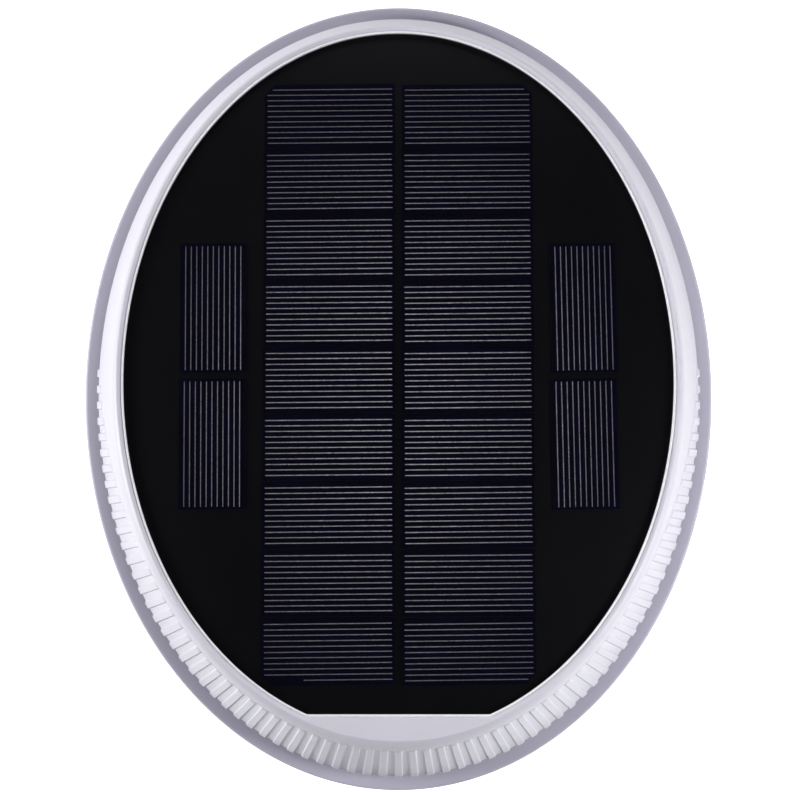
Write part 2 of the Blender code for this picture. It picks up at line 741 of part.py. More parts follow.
def add_lead(name, points, look):
    curve = bpy.data.curves.new(name, "CURVE")
    curve.dimensions = "3D"
    curve.bevel_depth = LEAD_RADIUS
    curve.bevel_resolution = 2
    curve.use_fill_caps = True
    spline = curve.splines.new("POLY")
    route = smooth_route([Vector(point) for point in points], LEAD_STEP)
    spline.points.add(len(route) - 1)
    for place, point in zip(spline.points, route):
        place.co = (*point, 1.0)
    obj = add_object(name, curve, PARTS)
    curve.materials.append(make_material(name, look))
    return obj


def build_leads():
    board = BOARD_BOTTOM - GAP
    inside = lead_exit_height()
    wall = BOX_V + BOX_SIZE[1] / 2
    terminal_top = MOTOR_TOP + TERMINAL_HEIGHT + GAP
    switch_top = BRACKET_TOP + GAP + SWITCH_HEIGHT + TERMINAL_HEIGHT + GAP
    for name, side, look in (("positive_lead", -1, RED), ("negative_lead", 1, BLACK_WIRE)):
        start = [
            from_panel((side * LEAD_X, BOX_V, board)),
            from_panel((side * LEAD_X, BOX_V, board - 5 * MM)),
            from_panel((side * LEAD_X, BOX_V + 3 * MM, inside + 3 * MM)),
            from_panel((side * LEAD_X, BOX_V + 10 * MM, inside)),
            from_panel((side * LEAD_X, wall, inside)),
            from_panel((side * LEAD_X, wall + 5 * MM, inside)),
        ]
        if name == "positive_lead":
            end = [
                (-8 * MM, SWITCH_Y + 1 * MM, switch_top + 5 * MM),
                (-SWITCH_TERMINAL_X, SWITCH_Y + 1 * MM, switch_top + 3.5 * MM),
                (-SWITCH_TERMINAL_X, SWITCH_Y, switch_top),
            ]
        else:
            end = [
                (11 * MM, -18 * MM, 82 * MM),
                (8 * MM, -5 * MM, terminal_top + 8 * MM),
                (TERMINAL_X, 0.0, terminal_top + 2 * MM),
                (TERMINAL_X, 0.0, terminal_top),
            ]
        add_lead(name, [*start, *[Vector(point) for point in end]], look)
    link = [
        (SWITCH_TERMINAL_X, SWITCH_Y, switch_top),
        (SWITCH_TERMINAL_X, SWITCH_Y + 1 * MM, switch_top + 2.5 * MM),
        (1 * MM, -36 * MM, 80.5 * MM),
        (-3 * MM, -20 * MM, 77 * MM),
        (-5.5 * MM, -6 * MM, terminal_top + 5 * MM),
        (-TERMINAL_X, 0.0, terminal_top + 2 * MM),
        (-TERMINAL_X, 0.0, terminal_top),
    ]
    add_lead("motor_link_lead", link, RED)


def mm_profile(*points):
    return [(radius * MM, height * MM) for radius, height in points]


def build_motor():
    bore = SHAFT_RADIUS + SHAFT_CLEARANCE
    # A can with a bearing seat in a nose below its floor.
    housing = mm_profile(
        (18, 61),
        (18, 26),
        (17, 25),
        (7, 25),
        (7, 21),
        (3.2, 21),
        (3.2, 22.2),
        (5.3, 22.2),
        (5.3, 26.2),
        (17, 26.2),
        (17, 61),
    )
    add_part("motor_housing", turned("motor_housing", housing), ZINC)
    # A lid with a rim that stands in the can, and the upper bearing's seat.
    cap_profile = mm_profile(
        (0, 66),
        (18, 66),
        (18, 61.3),
        (16.7, 61.3),
        (16.7, 58),
        (14.5, 58),
        (14.5, 61.3),
        (6.8, 61.3),
        (6.8, 60),
        (5.3, 60),
        (5.3, 65.2),
        (0, 65.2),
    )
    cap = add_part("motor_end_cap", turned("motor_end_cap", cap_profile, closed=False), BLACK_PLASTIC)
    posts = ((-TERMINAL_X, 0.0), (TERMINAL_X, 0.0))
    terminal_low = MOTOR_TOP - 0.5 * MM
    terminals = cylinders("terminals", 1.5 * MM, terminal_low, MOTOR_TOP + TERMINAL_HEIGHT, posts, 12)
    join(cap, add_cutter("terminals", terminals))
    screws = ((0.0, -MOTOR_SCREW_Y), (0.0, MOTOR_SCREW_Y))
    holes = cylinders("cap_holes", SCREW_RADIUS + GAP, MOTOR_TOP - 4 * MM, MOTOR_TOP + 1 * MM, screws, 12)
    cut(cap, add_cutter("cap_holes", holes))
    for name, low, high in (("motor_bearing_lower", 22.5, 26.5), ("motor_bearing_upper", 60.6, 64.6)):
        ring = [(BEARING_RADIUS, high * MM), (BEARING_RADIUS, low * MM), (bore, low * MM), (bore, high * MM)]
        add_part(name, turned(name, ring, segments=24), STEEL)
    shaft = [(0.0, SHAFT_TOP), (SHAFT_RADIUS, SHAFT_TOP), (SHAFT_RADIUS, SHAFT_BOTTOM), (0.0, SHAFT_BOTTOM)]
    add_part("motor_shaft", turned("motor_shaft", shaft, closed=False), STEEL)
    fixed = SHAFT_RADIUS + GAP
    outside = [(ROTOR_RADIUS, STATOR_TOP), (ROTOR_RADIUS, STATOR_BOTTOM)]
    rotor = [*outside, (fixed, STATOR_BOTTOM), (fixed, STATOR_TOP)]
    add_part("motor_rotor_magnet", turned("motor_rotor_magnet", rotor), MAGNET)
    ends = (STATOR_TOP, STATOR_BOTTOM)
    around = [(STATOR_RADIUS, height) for height in ends]
    around += [(STATOR_BORE, height) for height in reversed(ends)]
    stator = add_part("motor_stator", turned("motor_stator", around), COPPER)
    slots = bmesh.new()
    for index in range(STATOR_SLOTS):
        low = (ROTOR_RADIUS + 0.1 * MM, -STATOR_SLOT_HALF_WIDTH, STATOR_BOTTOM - 1 * MM)
        high = (STATOR_SLOT_REACH, STATOR_SLOT_HALF_WIDTH, STATOR_TOP + 1 * MM)
        box_into(slots, low, high, math.tau * index / STATOR_SLOTS)
    cut(stator, add_cutter("stator_slots", bmesh_to_mesh("stator_slots", slots)))
    board = mm_profile((16.2, 56.4), (16.2, 55), (5, 55), (5, 56.4))
    add_part("motor_circuit_board", turned("motor_circuit_board", board), CIRCUIT)


def blade_points(start_angle):
    """Rows of points across the middle surface of one blade."""
    rows = []
    for radial in range(6):
        share = radial / 5
        radius = BLADE_ROOT_RADIUS + share * (BLADE_TIP_RADIUS - BLADE_ROOT_RADIUS)
        chord = BLADE_ROOT_CHORD + share**0.8 * (BLADE_TIP_CHORD - BLADE_ROOT_CHORD)
        pitch = BLADE_ROOT_PITCH + share * (BLADE_TIP_PITCH - BLADE_ROOT_PITCH)
        row = []
        for across in range(5):
            along = chord * (across / 4 - 0.5)
            bulge = BLADE_CAMBER * chord * (1 - (2 * along / chord) ** 2)
            angle = start_angle + along * math.cos(pitch) / radius
            height = BLADE_HEIGHT - along * math.sin(pitch) + bulge * math.cos(pitch)
            row.append((radius * math.cos(angle), radius * math.sin(angle), height))
        rows.append(row)
    return rows


def blades_mesh():
    shape = bmesh.new()
    for blade in range(BLADE_COUNT):
        points = blade_points(math.tau * blade / BLADE_COUNT)
        rows = [[shape.verts.new(point) for point in row] for row in points]
        for inner, outer in zip(rows, rows[1:]):
            for index in range(len(inner) - 1):
                shape.faces.new((inner[index], inner[index + 1], outer[index + 1], outer[index]))
    obj = add_object("blade_sheets", bmesh_to_mesh("blade_sheets", shape), CUTTERS)
    solid = obj.modifiers.new("thickness", "SOLIDIFY")
    solid.thickness = BLADE_THICK
    solid.offset = 0.0
    mesh = evaluated_mesh(obj)
    bpy.data.objects.remove(obj, do_unlink=True)
    thick = bmesh.new()
    thick.from_mesh(mesh)
    bmesh.ops.recalc_face_normals(thick, faces=thick.faces)
    thick.to_mesh(mesh)
    thick.free()
    return mesh


def build_impeller():
    bore = SHAFT_RADIUS / MM + GAP / MM
    # A cup, open at the top, with a boss on its floor for the shaft.
    cup = mm_profile(
        (22.5, 41),
        (22.5, 17),
        (20.5, 15),
        (5, 15),
        (5, 12),
        (bore, 12),
        (bore, 19.5),
        (5, 19.5),
        (5, 17.5),
        (20.2, 17.5),
        (20.2, 41),
    )
    impeller = add_part("fan_impeller", turned("fan_impeller", cup), BLACK_PLASTIC)
    join(impeller, add_cutter("fan_blades", blades_mesh()))
    nut = add_part("impeller_nut", cylinders("impeller_nut", 4.6 * MM, 9 * MM, 11.7 * MM, segments=6), ZINC)
    cut(nut, add_cutter("nut_bore", cylinders("nut_bore", SHAFT_RADIUS + GAP, 8 * MM, 13 * MM, segments=32)))


def build_bracket():
    sleeve = [
        (20.8 * MM, BRACKET_TOP),
        (20.8 * MM, 43 * MM),
        (18.3 * MM, 43 * MM),
        (18.3 * MM, MOTOR_TOP + GAP),
        (12 * MM, MOTOR_TOP + GAP),
        (12 * MM, BRACKET_TOP),
    ]
    bracket = add_part("motor_bracket", turned("motor_bracket", sleeve), BLACK_PLASTIC)
    arms = bmesh.new()
    for angle in ARM_ANGLES:
        low = (19.6 * MM, -ARM_WIDTH / 2, BRACKET_BOTTOM)
        high = (ARM_REACH, ARM_WIDTH / 2, BRACKET_TOP - 0.4 * MM)
        box_into(arms, low, high, math.radians(angle))
    join(bracket, add_cutter("bracket_arms", bmesh_to_mesh("bracket_arms", arms)))
    pads = round_places(ARM_ANGLES, ARM_REACH)
    ends = cylinders("bracket_pads", ARM_PAD_RADIUS, BRACKET_BOTTOM, BRACKET_TOP, pads)
    join(bracket, add_cutter("bracket_pads", ends))
    holes = bmesh.new()
    for place in pads:
        cylinder_into(holes, SCREW_RADIUS + GAP, BRACKET_BOTTOM - 1 * MM, BRACKET_TOP + 1 * MM, place, 12)
    for side in (-1, 1):
        place = (0.0, side * MOTOR_SCREW_Y)
        cylinder_into(holes, SCREW_RADIUS + GAP, MOTOR_TOP - 1 * MM, BRACKET_TOP + 1 * MM, place, 12)
    cut(bracket, add_cutter("bracket_holes", bmesh_to_mesh("bracket_holes", holes)))


def build_thermal_switch():
    low = BRACKET_TOP + GAP
    top = low + SWITCH_HEIGHT
    can = [(0.0, top), (6.5 * MM, top), (SWITCH_RADIUS, top - 2 * MM), (SWITCH_RADIUS, low), (0.0, low)]
    switch = add_part("thermal_switch", turned("thermal_switch", can, closed=False, segments=32), BAKELITE)
    switch.location = (0.0, SWITCH_Y, 0.0)
    posts = ((-SWITCH_TERMINAL_X, SWITCH_Y), (SWITCH_TERMINAL_X, SWITCH_Y))
    tabs = cylinders("switch_terminals", 1.4 * MM, top - 1 * MM, top + TERMINAL_HEIGHT, posts, 12)
    join(switch, add_cutter("switch_terminals", tabs))


def build_grille():
    disc = cylinders("intake_grille", DUCT_RADIUS - GAP, 0.0, GRILLE_THICK, segments=60)
    grille = add_part("intake_grille", disc, GREY_PLASTIC)
    slots = bmesh.new()
    for count, inner, outer, width in GRILLE_SLOT_RINGS:
        for index in range(count):
            angle = math.tau * (index + 0.5) / count
            low = (inner, -width / 2, -1 * MM)
            high = (outer, width / 2, GRILLE_THICK + 1 * MM)
            box_into(slots, low, high, angle)
    cut(grille, add_cutter("grille_slots", bmesh_to_mesh("grille_slots", slots)))
    holes = bmesh.new()
    for place in round_places(GRILLE_LUG_ANGLES, GRILLE_SCREW_REACH):
        cylinder_into(holes, SCREW_HEAD_RADIUS + GAP, -1 * MM, SCREW_HEAD_HEIGHT + GAP, place)
    cut(grille, add_cutter("grille_seats", bmesh_to_mesh("grille_seats", holes)))
    shanks = bmesh.new()
    for place in round_places(GRILLE_LUG_ANGLES, GRILLE_SCREW_REACH):
        cylinder_into(shanks, SCREW_RADIUS + GAP, 0.5 * MM, GRILLE_THICK + 1 * MM, place, 12)
    cut(grille, add_cutter("grille_holes", bmesh_to_mesh("grille_holes", shanks)))


def screw_mesh(name, length, upward):
    """A screw with its head's flat end at height 0. It points up or down."""
    way = 1 if upward else -1
    profile = [
        (0.0, 0.0),
        (SCREW_HEAD_RADIUS, 0.0),
        (SCREW_HEAD_RADIUS, way * SCREW_HEAD_HEIGHT),
        (SCREW_RADIUS, way * SCREW_HEAD_HEIGHT),
        (SCREW_RADIUS, way * length),
        (0.0, way * length),
    ]
    if upward:
        profile.reverse()
    return turned(name, profile, closed=False, segments=12)


def add_screws(name, places, height, length, upward):
    for number, (x, y) in enumerate(places, 1):
        title = f"{name}_{number}"
        screw = add_part(title, screw_mesh(title, length, upward), ZINC)
        screw.location = (x, y, height)


def build_screws():
    add_screws("hood_screw", hood_screw_places(), DUCT_DROP, PAD_HEIGHT + FLANGE_THICK + 8 * MM, True)
    arms = round_places(ARM_ANGLES, ARM_REACH)
    head = BRACKET_TOP + GAP + SCREW_HEAD_HEIGHT
    add_screws("bracket_screw", arms, head, SCREW_HEAD_HEIGHT + ARM_HEIGHT + 10 * MM, False)
    motor = [(0.0, -MOTOR_SCREW_Y), (0.0, MOTOR_SCREW_Y)]
    add_screws("motor_screw", motor, head, SCREW_HEAD_HEIGHT + BRACKET_TOP - MOTOR_TOP + 3.4 * MM, False)
    grille = round_places(GRILLE_LUG_ANGLES, GRILLE_SCREW_REACH)
    add_screws("grille_screw", grille, 0.0, GRILLE_LUG_TOP - 2 * MM, True)


def bake_modifiers():
    """Turns each part into a plain mesh, shaded smooth with its edges sharp."""
    for obj in list(PARTS.objects):
        if obj.type != "MESH":
            continue
        old = obj.data
        mesh = evaluated_mesh(obj)
        obj.modifiers.clear()
        obj.data = mesh
        mesh.name = obj.name
        bpy.data.meshes.remove(old)
        mesh.shade_smooth()
        mesh.set_sharp_from_angle(angle=math.radians(30.0))


build_roof_base()
build_gasket()
build_hood()
build_panel()
build_cells()
build_junction_box()
build_motor()
build_impeller()
build_bracket()
build_thermal_switch()
build_leads()
build_grille()
build_screws()
bake_modifiers()
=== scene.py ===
"""Looks of the solar attic fan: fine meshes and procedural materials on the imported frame.

Metres, in the frame's own axes. The hood is low at the back, +Y, and tall and ribbed at the
front, -Y.
"""

import math
import random

import bmesh
import bpy
from mathutils import Matrix, Vector


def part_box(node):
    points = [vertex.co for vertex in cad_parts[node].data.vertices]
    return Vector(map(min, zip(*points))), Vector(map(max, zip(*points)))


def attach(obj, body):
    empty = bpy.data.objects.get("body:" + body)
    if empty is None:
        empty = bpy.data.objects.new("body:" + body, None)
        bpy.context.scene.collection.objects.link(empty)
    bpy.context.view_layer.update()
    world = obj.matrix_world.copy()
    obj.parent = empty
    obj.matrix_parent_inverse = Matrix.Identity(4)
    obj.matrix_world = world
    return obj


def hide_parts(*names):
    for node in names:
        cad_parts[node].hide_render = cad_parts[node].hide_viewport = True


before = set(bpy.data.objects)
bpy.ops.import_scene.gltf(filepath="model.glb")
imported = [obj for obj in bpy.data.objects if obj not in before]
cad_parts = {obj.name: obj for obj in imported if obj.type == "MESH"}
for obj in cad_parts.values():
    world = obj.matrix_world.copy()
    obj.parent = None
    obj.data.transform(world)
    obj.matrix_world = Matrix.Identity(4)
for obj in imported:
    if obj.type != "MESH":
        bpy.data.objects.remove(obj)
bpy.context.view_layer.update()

MM = 0.001
HOUSING = "housing"
ROTOR = "rotor"
SHARP_ANGLE = 35.0
RIB_SHARP_ANGLE = 20.0
BLADE_SHARP_ANGLE = 50.0
MERGE_DISTANCE = 0.01 * MM

# How far a cutter reaches past the face that it cuts, and what keeps two faces out of one plane.
OVERCUT = 1.0 * MM
OFF_FLUSH = 0.02 * MM

# How far in from the sharp corner the middle of a rounding lies, as a share of its radius.
ARC_MIDDLE = 0.3

# Sides of round pieces, and steps of a rounding.
TURNED_SEGMENTS = 96
CYLINDER_SEGMENTS = 40
SHANK_SEGMENTS = 24
TURNED_STEPS = 3
ROUND_STEPS = 4
FLANGE_EDGE_STEPS = 6

# Sizes that the frame gives.
BASE_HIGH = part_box("roof_base")[1]
GASKET_LOW, GASKET_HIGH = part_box("flange_gasket")
GRILLE_LOW, GRILLE_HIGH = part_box("intake_grille")
FLANGE_HALF_X = BASE_HIGH.x
FLANGE_HALF_Y = BASE_HIGH.y
DAM_TOP = BASE_HIGH.z
FOOT_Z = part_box("hood_shell")[0].z

# Flange and duct.
FLANGE_THICK = 3.0 * MM
FLANGE_TOP = 49.0 * MM
FLANGE_BOTTOM = FLANGE_TOP - FLANGE_THICK
PAD_TOP = 55.0 * MM
FLANGE_EDGE_ROUND = 1.45 * MM
FLANGE_FILLET = 2.0 * MM
COLLAR_WIDTH = 8.0 * MM
RIM_WIDTH = 10.0 * MM
DUCT_RADIUS = 101.5 * MM
DUCT_OUTER = 104.0 * MM
DUCT_ROUND = 0.8 * MM
FLANGE_SEGMENTS = 288
FIXING_INSET = 13.5 * MM
FIXING_COUNT = 6
FIXING_HOLE_RADIUS = 2.5 * MM
GASKET_WIDTH = 17.0 * MM
GASKET_ROUND = 0.7 * MM

# Hood: foot, crest and sloping top plane.
FOOT_HALF_X = 145.3 * MM
FOOT_HALF_Y = 183.2 * MM
FOOT_CENTRE_Y = 0.9 * MM
CREST_HALF_X = 133.3 * MM
CREST_HALF_Y = 168.9 * MM
CREST_CENTRE_Y = 10.3 * MM
TOP_HEIGHT = 46.0 * MM
TOP_SLOPE = 0.16
TILT = math.atan(TOP_SLOPE)
HOOD_WALL = 2.4 * MM
FOOT_ROUND = 0.3 * MM
SHOULDER_SHARE = 0.13
SHOULDER_DROP = 0.07
SHOULDER_FALL = 0.45
SHOULDER_STEPS = 8
CREST_FLAT = 0.2 * MM
FOOT_SAMPLES = 3600
PAD_RADIUS = 7.0 * MM
BOSS_RADIUS = 5.5 * MM
HOOD_HOLE_DEPTH = 9.0 * MM

# Holes in the tray for the leads. A lead that reaches far to the left comes up at its left end.
LEAD_RADIUS = 1.1 * MM
LEAD_LEFT_REACH = 10.0 * MM
LEAD_HOLE_RADIUS = 4.0 * MM
LEAD_HOLE_DEPTH = 5.0 * MM
LEAD_HOLE_SEGMENTS = 32
LEAD_HOLE_V = -78.0 * MM

# Ribs of the skirt: across one pitch, (place, share of the relief).
RIB_PITCHES = 134
RIB_RAISE = 0.85 * MM
RIB_PROFILE = (
    (0.0, 0.0),
    (0.21, 0.0),
    (0.22, 0.06),
    (0.29, 0.94),
    (0.30, 1.0),
    (0.70, 1.0),
    (0.71, 0.94),
    (0.78, 0.06),
    (0.79, 0.0),
)
RIB_END_Y = 20.0 * MM
RIB_GROWTH = 0.45
RIB_TOP_GAP = 1.5 * MM
RIB_LEAST_LENGTH = 1.5 * MM
RIB_LEAD_IN = 1.0 * MM

# Top of a rib: (share of the lead-in gone down, share of the relief).
RIB_LEAD_PROFILE = ((0.1, 0.3), (0.4, 0.8), (1.0, 1.0))

# Bead over the ribs: (share of its height above them, share of its relief).
BEAD_RAISE = 0.3 * MM
BEAD_HEIGHT = 1.1 * MM
BEAD_PROFILE = ((1.0, 0.0), (0.75, 0.8), (0.4, 1.0), (0.15, 0.8))

# Panel, in its own frame: U along X, V up the slope, W square to the hood's top plane.
PANEL_HALF_X = 130.0 * MM
PANEL_HALF_Y = 167.8 * MM
PANEL_CENTRE_V = 10.6 * MM
PANEL_CHORD_V = -148.0 * MM
RECESS_GAP = 0.4 * MM
LEDGE_WIDTH = 1.0 * MM
LEDGE_DEPTH = 1.1 * MM
SLOPE_WIDTH = 2.0 * MM
CHORD_SLOPE_WIDTH = 0.8 * MM

# Slope outside the ledge: (share of its width gone out, share of the ledge's depth still to climb).
SLOPE_PROFILE = ((0.8, 0.17), (0.92, 0.04), (1.0, 0.0))
LIP_ROUND = 0.25 * MM
TRAY_DEPTH = 5.7 * MM
TRAY_UNDERSIDE = 8.0 * MM
BOARD_BOTTOM = -4.3 * MM
BOARD_THICK = 1.4 * MM
BOARD_ROUND = 0.1 * MM
COVER_BOTTOM = -2.0 * MM
COVER_ROUND = 0.3 * MM
SEAL_BOTTOM = -5.4 * MM
SEAL_THICK = 0.8 * MM
SEAL_INSET = 1.5 * MM
SEAL_WIDTH = 8.0 * MM
SEALANT_BEAD_START = 0.1 * MM
SEALANT_BEAD_WIDTH = RECESS_GAP + LEDGE_WIDTH - 0.3 * MM
SEALANT_BEAD_HEIGHT = 0.6 * MM
SEALANT_BEAD_SINK = 0.01 * MM
SEALANT_BEAD_STEPS = 8
PANEL_STATIONS = 400
CHORD_STATIONS = PANEL_STATIONS // 8

# Cells and their printed fingers.
CELL_LONG = 62.5 * MM
CELL_SHORT = 31.25 * MM
CELL_THICK = 0.35 * MM
CELL_BOTTOM = -2.6 * MM
CELL_ROWS = 9
ROW_PITCH = 32.1 * MM
COLUMN_HALF_PITCH = 32.9 * MM
GRID_CENTRE_V = 9.4 * MM
SIDE_CELL_X = 88.0 * MM
SIDE_CELL_V = 11.6 * MM
SIDE_CELL_PITCH = 65.2 * MM
CORNER_CUT = 5.0 * MM

# How far the cells are out of true, in degrees, and the seed that it is drawn with.
CELL_SEED = 7
CELL_TURNS = (0.5, 0.8)
SIDE_CELL_TURNS = {-1: 0.35, 1: 0.9}
FINGER_COUNT = 11
FINGER_PITCH = 2.62 * MM
FINGER_WIDTH = 0.42 * MM
FINGER_FACE_SHARE = 0.6
FINGER_RISE = 0.03 * MM
FINGER_MARGIN = 1.4 * MM
BROKEN_LENGTH = 16.0 * MM

# Impeller. The hub's profile is (radius, height, rounding), round its section.
HUB_PROFILE = (
    (22.5 * MM, 41.0 * MM, 0.6 * MM),
    (22.5 * MM, 15.5 * MM, 3.0 * MM),
    (5.0 * MM, 15.0 * MM, 0.5 * MM),
    (5.0 * MM, 12.0 * MM, 0.4 * MM),
    (2.3 * MM, 12.0 * MM, 0.1 * MM),
    (2.3 * MM, 19.5 * MM, 0.1 * MM),
    (5.0 * MM, 19.5 * MM, 0.4 * MM),
    (5.0 * MM, 17.5 * MM, 0.4 * MM),
    (20.2 * MM, 17.5 * MM, 1.5 * MM),
    (20.2 * MM, 41.0 * MM, 0.4 * MM),
)
BLADE_COUNT = 5
BLADE_ROOT_RADIUS = 21.3 * MM
BLADE_TIP_RADIUS = 96.5 * MM
BLADE_ROOT_CHORD = 34.0 * MM
BLADE_TIP_CHORD = 58.0 * MM
BLADE_ROOT_PITCH = math.radians(40.0)
BLADE_TIP_PITCH = math.radians(22.0)
BLADE_THICK = 2.0 * MM
BLADE_HEIGHT = 28.5 * MM
BLADE_CAMBER = 0.06
BLADE_STATIONS = 15
BLADE_SIDE_POINTS = 9
BLADE_CHORD_POWER = 0.8
BLADE_SECTION_POWER = 2.5
BLADE_THINNING = 0.25
BLADE_TIP_ROUND = 0.3 * MM
BLADE_TIP_PINCH = 0.03

# Lugs and the grille. Lugs on the duct stand a little outside their screws.
LUG_SINK = 1.5 * MM
ARM_ANGLES = (30.0, 150.0, 270.0)
ARM_REACH = 108.0 * MM
ARM_PAD_RADIUS = 6.0 * MM
ARM_PAD_SHIFT = 0.5 * MM
ARM_HOLE_DEPTH = 11.0 * MM
GRILLE_LUG_ANGLES = (90.0, 210.0, 330.0)
GRILLE_LUG_RADIUS = 5.5 * MM
GRILLE_LUG_TOP = 13.0 * MM
GRILLE_LUG_SHIFT = 1.0 * MM
GRILLE_LUG_ROOF = 1.5 * MM
GRILLE_SCREW_REACH = 96.0 * MM
GRILLE_ROUND = 0.4 * MM
GRILLE_SEGMENTS = 180
SLOT_END_STEPS = 8

# Slots of the grille: (count, inner radius, outer radius, width).
GRILLE_SLOT_RINGS = ((18, 18.0 * MM, 51.0 * MM, 3.4 * MM), (42, 55.0 * MM, 89.0 * MM, 5.0 * MM))

# Screws: their places, heads with a tapered cross recess, and threads.
HOOD_SCREW_PLACES = ((70.0 * MM, -115.0 * MM), (78.0 * MM, 128.0 * MM))
GAP = 0.3 * MM
SCREW_RADIUS = 1.5 * MM
SCREW_HEAD_RADIUS = 3.2 * MM
SCREW_HEAD_HEIGHT = 2.0 * MM
SCREW_HEAD_SEGMENTS = 48
SCREW_FACE_ROUND = 0.7 * MM
SCREW_NECK_ROUND = 0.15 * MM
PINHOLE_RADIUS = 0.02 * MM
RECESS_DEPTH = 1.2 * MM
RECESS_LIFT = 0.1 * MM
RECESS_LENGTH_SHARE = 1.1
RECESS_WIDTH_SHARE = 0.28
RECESS_END_RADII = (0.75, 0.45)
THREAD_PITCH = 1.2 * MM
THREAD_DEPTH = 0.35 * MM
THREAD_STEEPNESS = 3.2
THREAD_SEGMENTS = 20
THREAD_STEPS = 6
SCREW_TIP_SHARE = 0.25

# Rounding given to the edges of CAD nodes that stay.
CAD_EDGE = 0.25 * MM

# Camera: straight above the flange's middle but for a small offset in X and Y.
CAMERA_DISTANCE = 1.5
CAMERA_LENS = 138.7
CAMERA_SENSOR = 36.0
CAMERA_OFFSET = (0.7 * MM, -0.4 * MM)

# Lights: (name, place, size, power), all aimed at one point, with a faint even sky.
LIGHTS = (
    ("left_softbox", (-1.30, 0.0, 0.50), (0.60, 0.50), 16.5),
    ("right_softbox", (0.68, -0.22, 0.48), (0.32, 0.27), 4.9),
    ("front_softbox", (0.0, -1.30, 0.50), (0.80, 0.50), 0.5),
    ("back_softbox", (0.0, 1.30, 0.50), (0.80, 0.50), 7.0),
)
LIGHT_AIM = (0.0, 0.0, 0.06)
SKY_COLOR = (0.95, 0.95, 1.0, 1.0)
SKY_STRENGTH = 0.14

# Floor just under the part.
FLOOR_SIZE = 4.0
FLOOR_CELLS = 8
FLOOR_DROP = 0.2 * MM


# ---------------- materials


GRAIN_DEPTH = 0.02 * MM
PORE_DEPTH = 0.3 * MM
STRAND_DEPTH = 0.2 * MM
TRACK_DEPTH = 0.05 * MM


def node_material(name):
    made = bpy.data.materials.new(name)
    made.use_nodes = True
    tree = made.node_tree
    return made, tree, tree.nodes["Principled BSDF"]


def stretched_place(tree, stretch):
    """The frame's own coordinates, each one multiplied by its stretch."""
    place = tree.nodes.new("ShaderNodeTexCoord")
    mapping = tree.nodes.new("ShaderNodeMapping")
    mapping.inputs["Scale"].default_value = stretch
    tree.links.new(place.outputs["Object"], mapping.inputs["Vector"])
    return mapping.outputs["Vector"]


def texture_node(tree, kind, scale, stretch=(1.0, 1.0, 1.0)):
    """A texture in the frame's own coordinates. scale is in features a metre."""
    texture = tree.nodes.new(kind)
    texture.inputs["Scale"].default_value = scale
    tree.links.new(stretched_place(tree, stretch), texture.inputs["Vector"])
    return texture


def noise_node(tree, scale, detail=3.0, stretch=(1.0, 1.0, 1.0)):
    texture = texture_node(tree, "ShaderNodeTexNoise", scale, stretch)
    texture.inputs["Detail"].default_value = detail
    return texture.outputs["Fac"]


def ramp_range(tree, source, low, high):
    """Maps the middle of a texture's range, 0.3 to 0.7, to low and high."""
    ranged = tree.nodes.new("ShaderNodeMapRange")
    ranged.inputs["From Min"].default_value = 0.3
    ranged.inputs["From Max"].default_value = 0.7
    ranged.inputs["To Min"].default_value = low
    ranged.inputs["To Max"].default_value = high
    tree.links.new(source, ranged.inputs["Value"])
    return ranged.outputs["Result"]


def mix_colors(tree, share, first, second):
    mixed = tree.nodes.new("ShaderNodeMix")
    mixed.data_type = "RGBA"
    mixed.inputs["A"].default_value = (*first, 1.0)
    mixed.inputs["B"].default_value = (*second, 1.0)
    tree.links.new(share, mixed.inputs["Factor"])
    return mixed.outputs["Result"]


def vary_roughness(tree, shader, scale, low, high):
    tree.links.new(ramp_range(tree, noise_node(tree, scale), low, high), shader.inputs["Roughness"])


def bump(tree, shader, height, strength, distance):
    relief = tree.nodes.new("ShaderNodeBump")
    relief.inputs["Strength"].default_value = strength
    relief.inputs["Distance"].default_value = distance
    tree.links.new(height, relief.inputs["Height"])
    tree.links.new(relief.outputs["Normal"], shader.inputs["Normal"])


def scaled(color, factor):
    return tuple(channel * factor for channel in color)


def surface(
    name,
    color,
    roughness,
    metallic=0.0,
    mottle=0.03,
    mottle_scale=45.0,
    rough_spread=0.05,
    grain_scale=2600.0,
    grain=0.25,
    stretch=(1.0, 1.0, 1.0),
    specular=0.5,
):
    """A surface whose colour, roughness and relief all vary with noise."""
    made, tree, shader = node_material(name)
    shade = ramp_range(tree, noise_node(tree, mottle_scale, 4.0), 0.0, 1.0)
    mixed = mix_colors(tree, shade, scaled(color, 1.0 - mottle), scaled(color, 1.0 + mottle))
    tree.links.new(mixed, shader.inputs["Base Color"])
    fine = noise_node(tree, grain_scale, 2.0, stretch)
    varied = ramp_range(tree, fine, roughness - rough_spread, roughness + rough_spread)
    tree.links.new(varied, shader.inputs["Roughness"])
    bump(tree, shader, fine, grain, GRAIN_DEPTH)
    shader.inputs["Metallic"].default_value = metallic
    shader.inputs["Specular IOR Level"].default_value = specular
    return made


def foam_material():
    made, tree, shader = node_material("foam")
    depth = texture_node(tree, "ShaderNodeTexVoronoi", 1500.0).outputs["Distance"]
    # Painted shade in the pores: the colour is darker where the relief is low.
    mixed = mix_colors(tree, depth, (0.012, 0.012, 0.012), (0.07, 0.07, 0.07))
    tree.links.new(mixed, shader.inputs["Base Color"])
    bump(tree, shader, depth, 0.8, PORE_DEPTH)
    vary_roughness(tree, shader, 300.0, 0.85, 0.98)
    return made


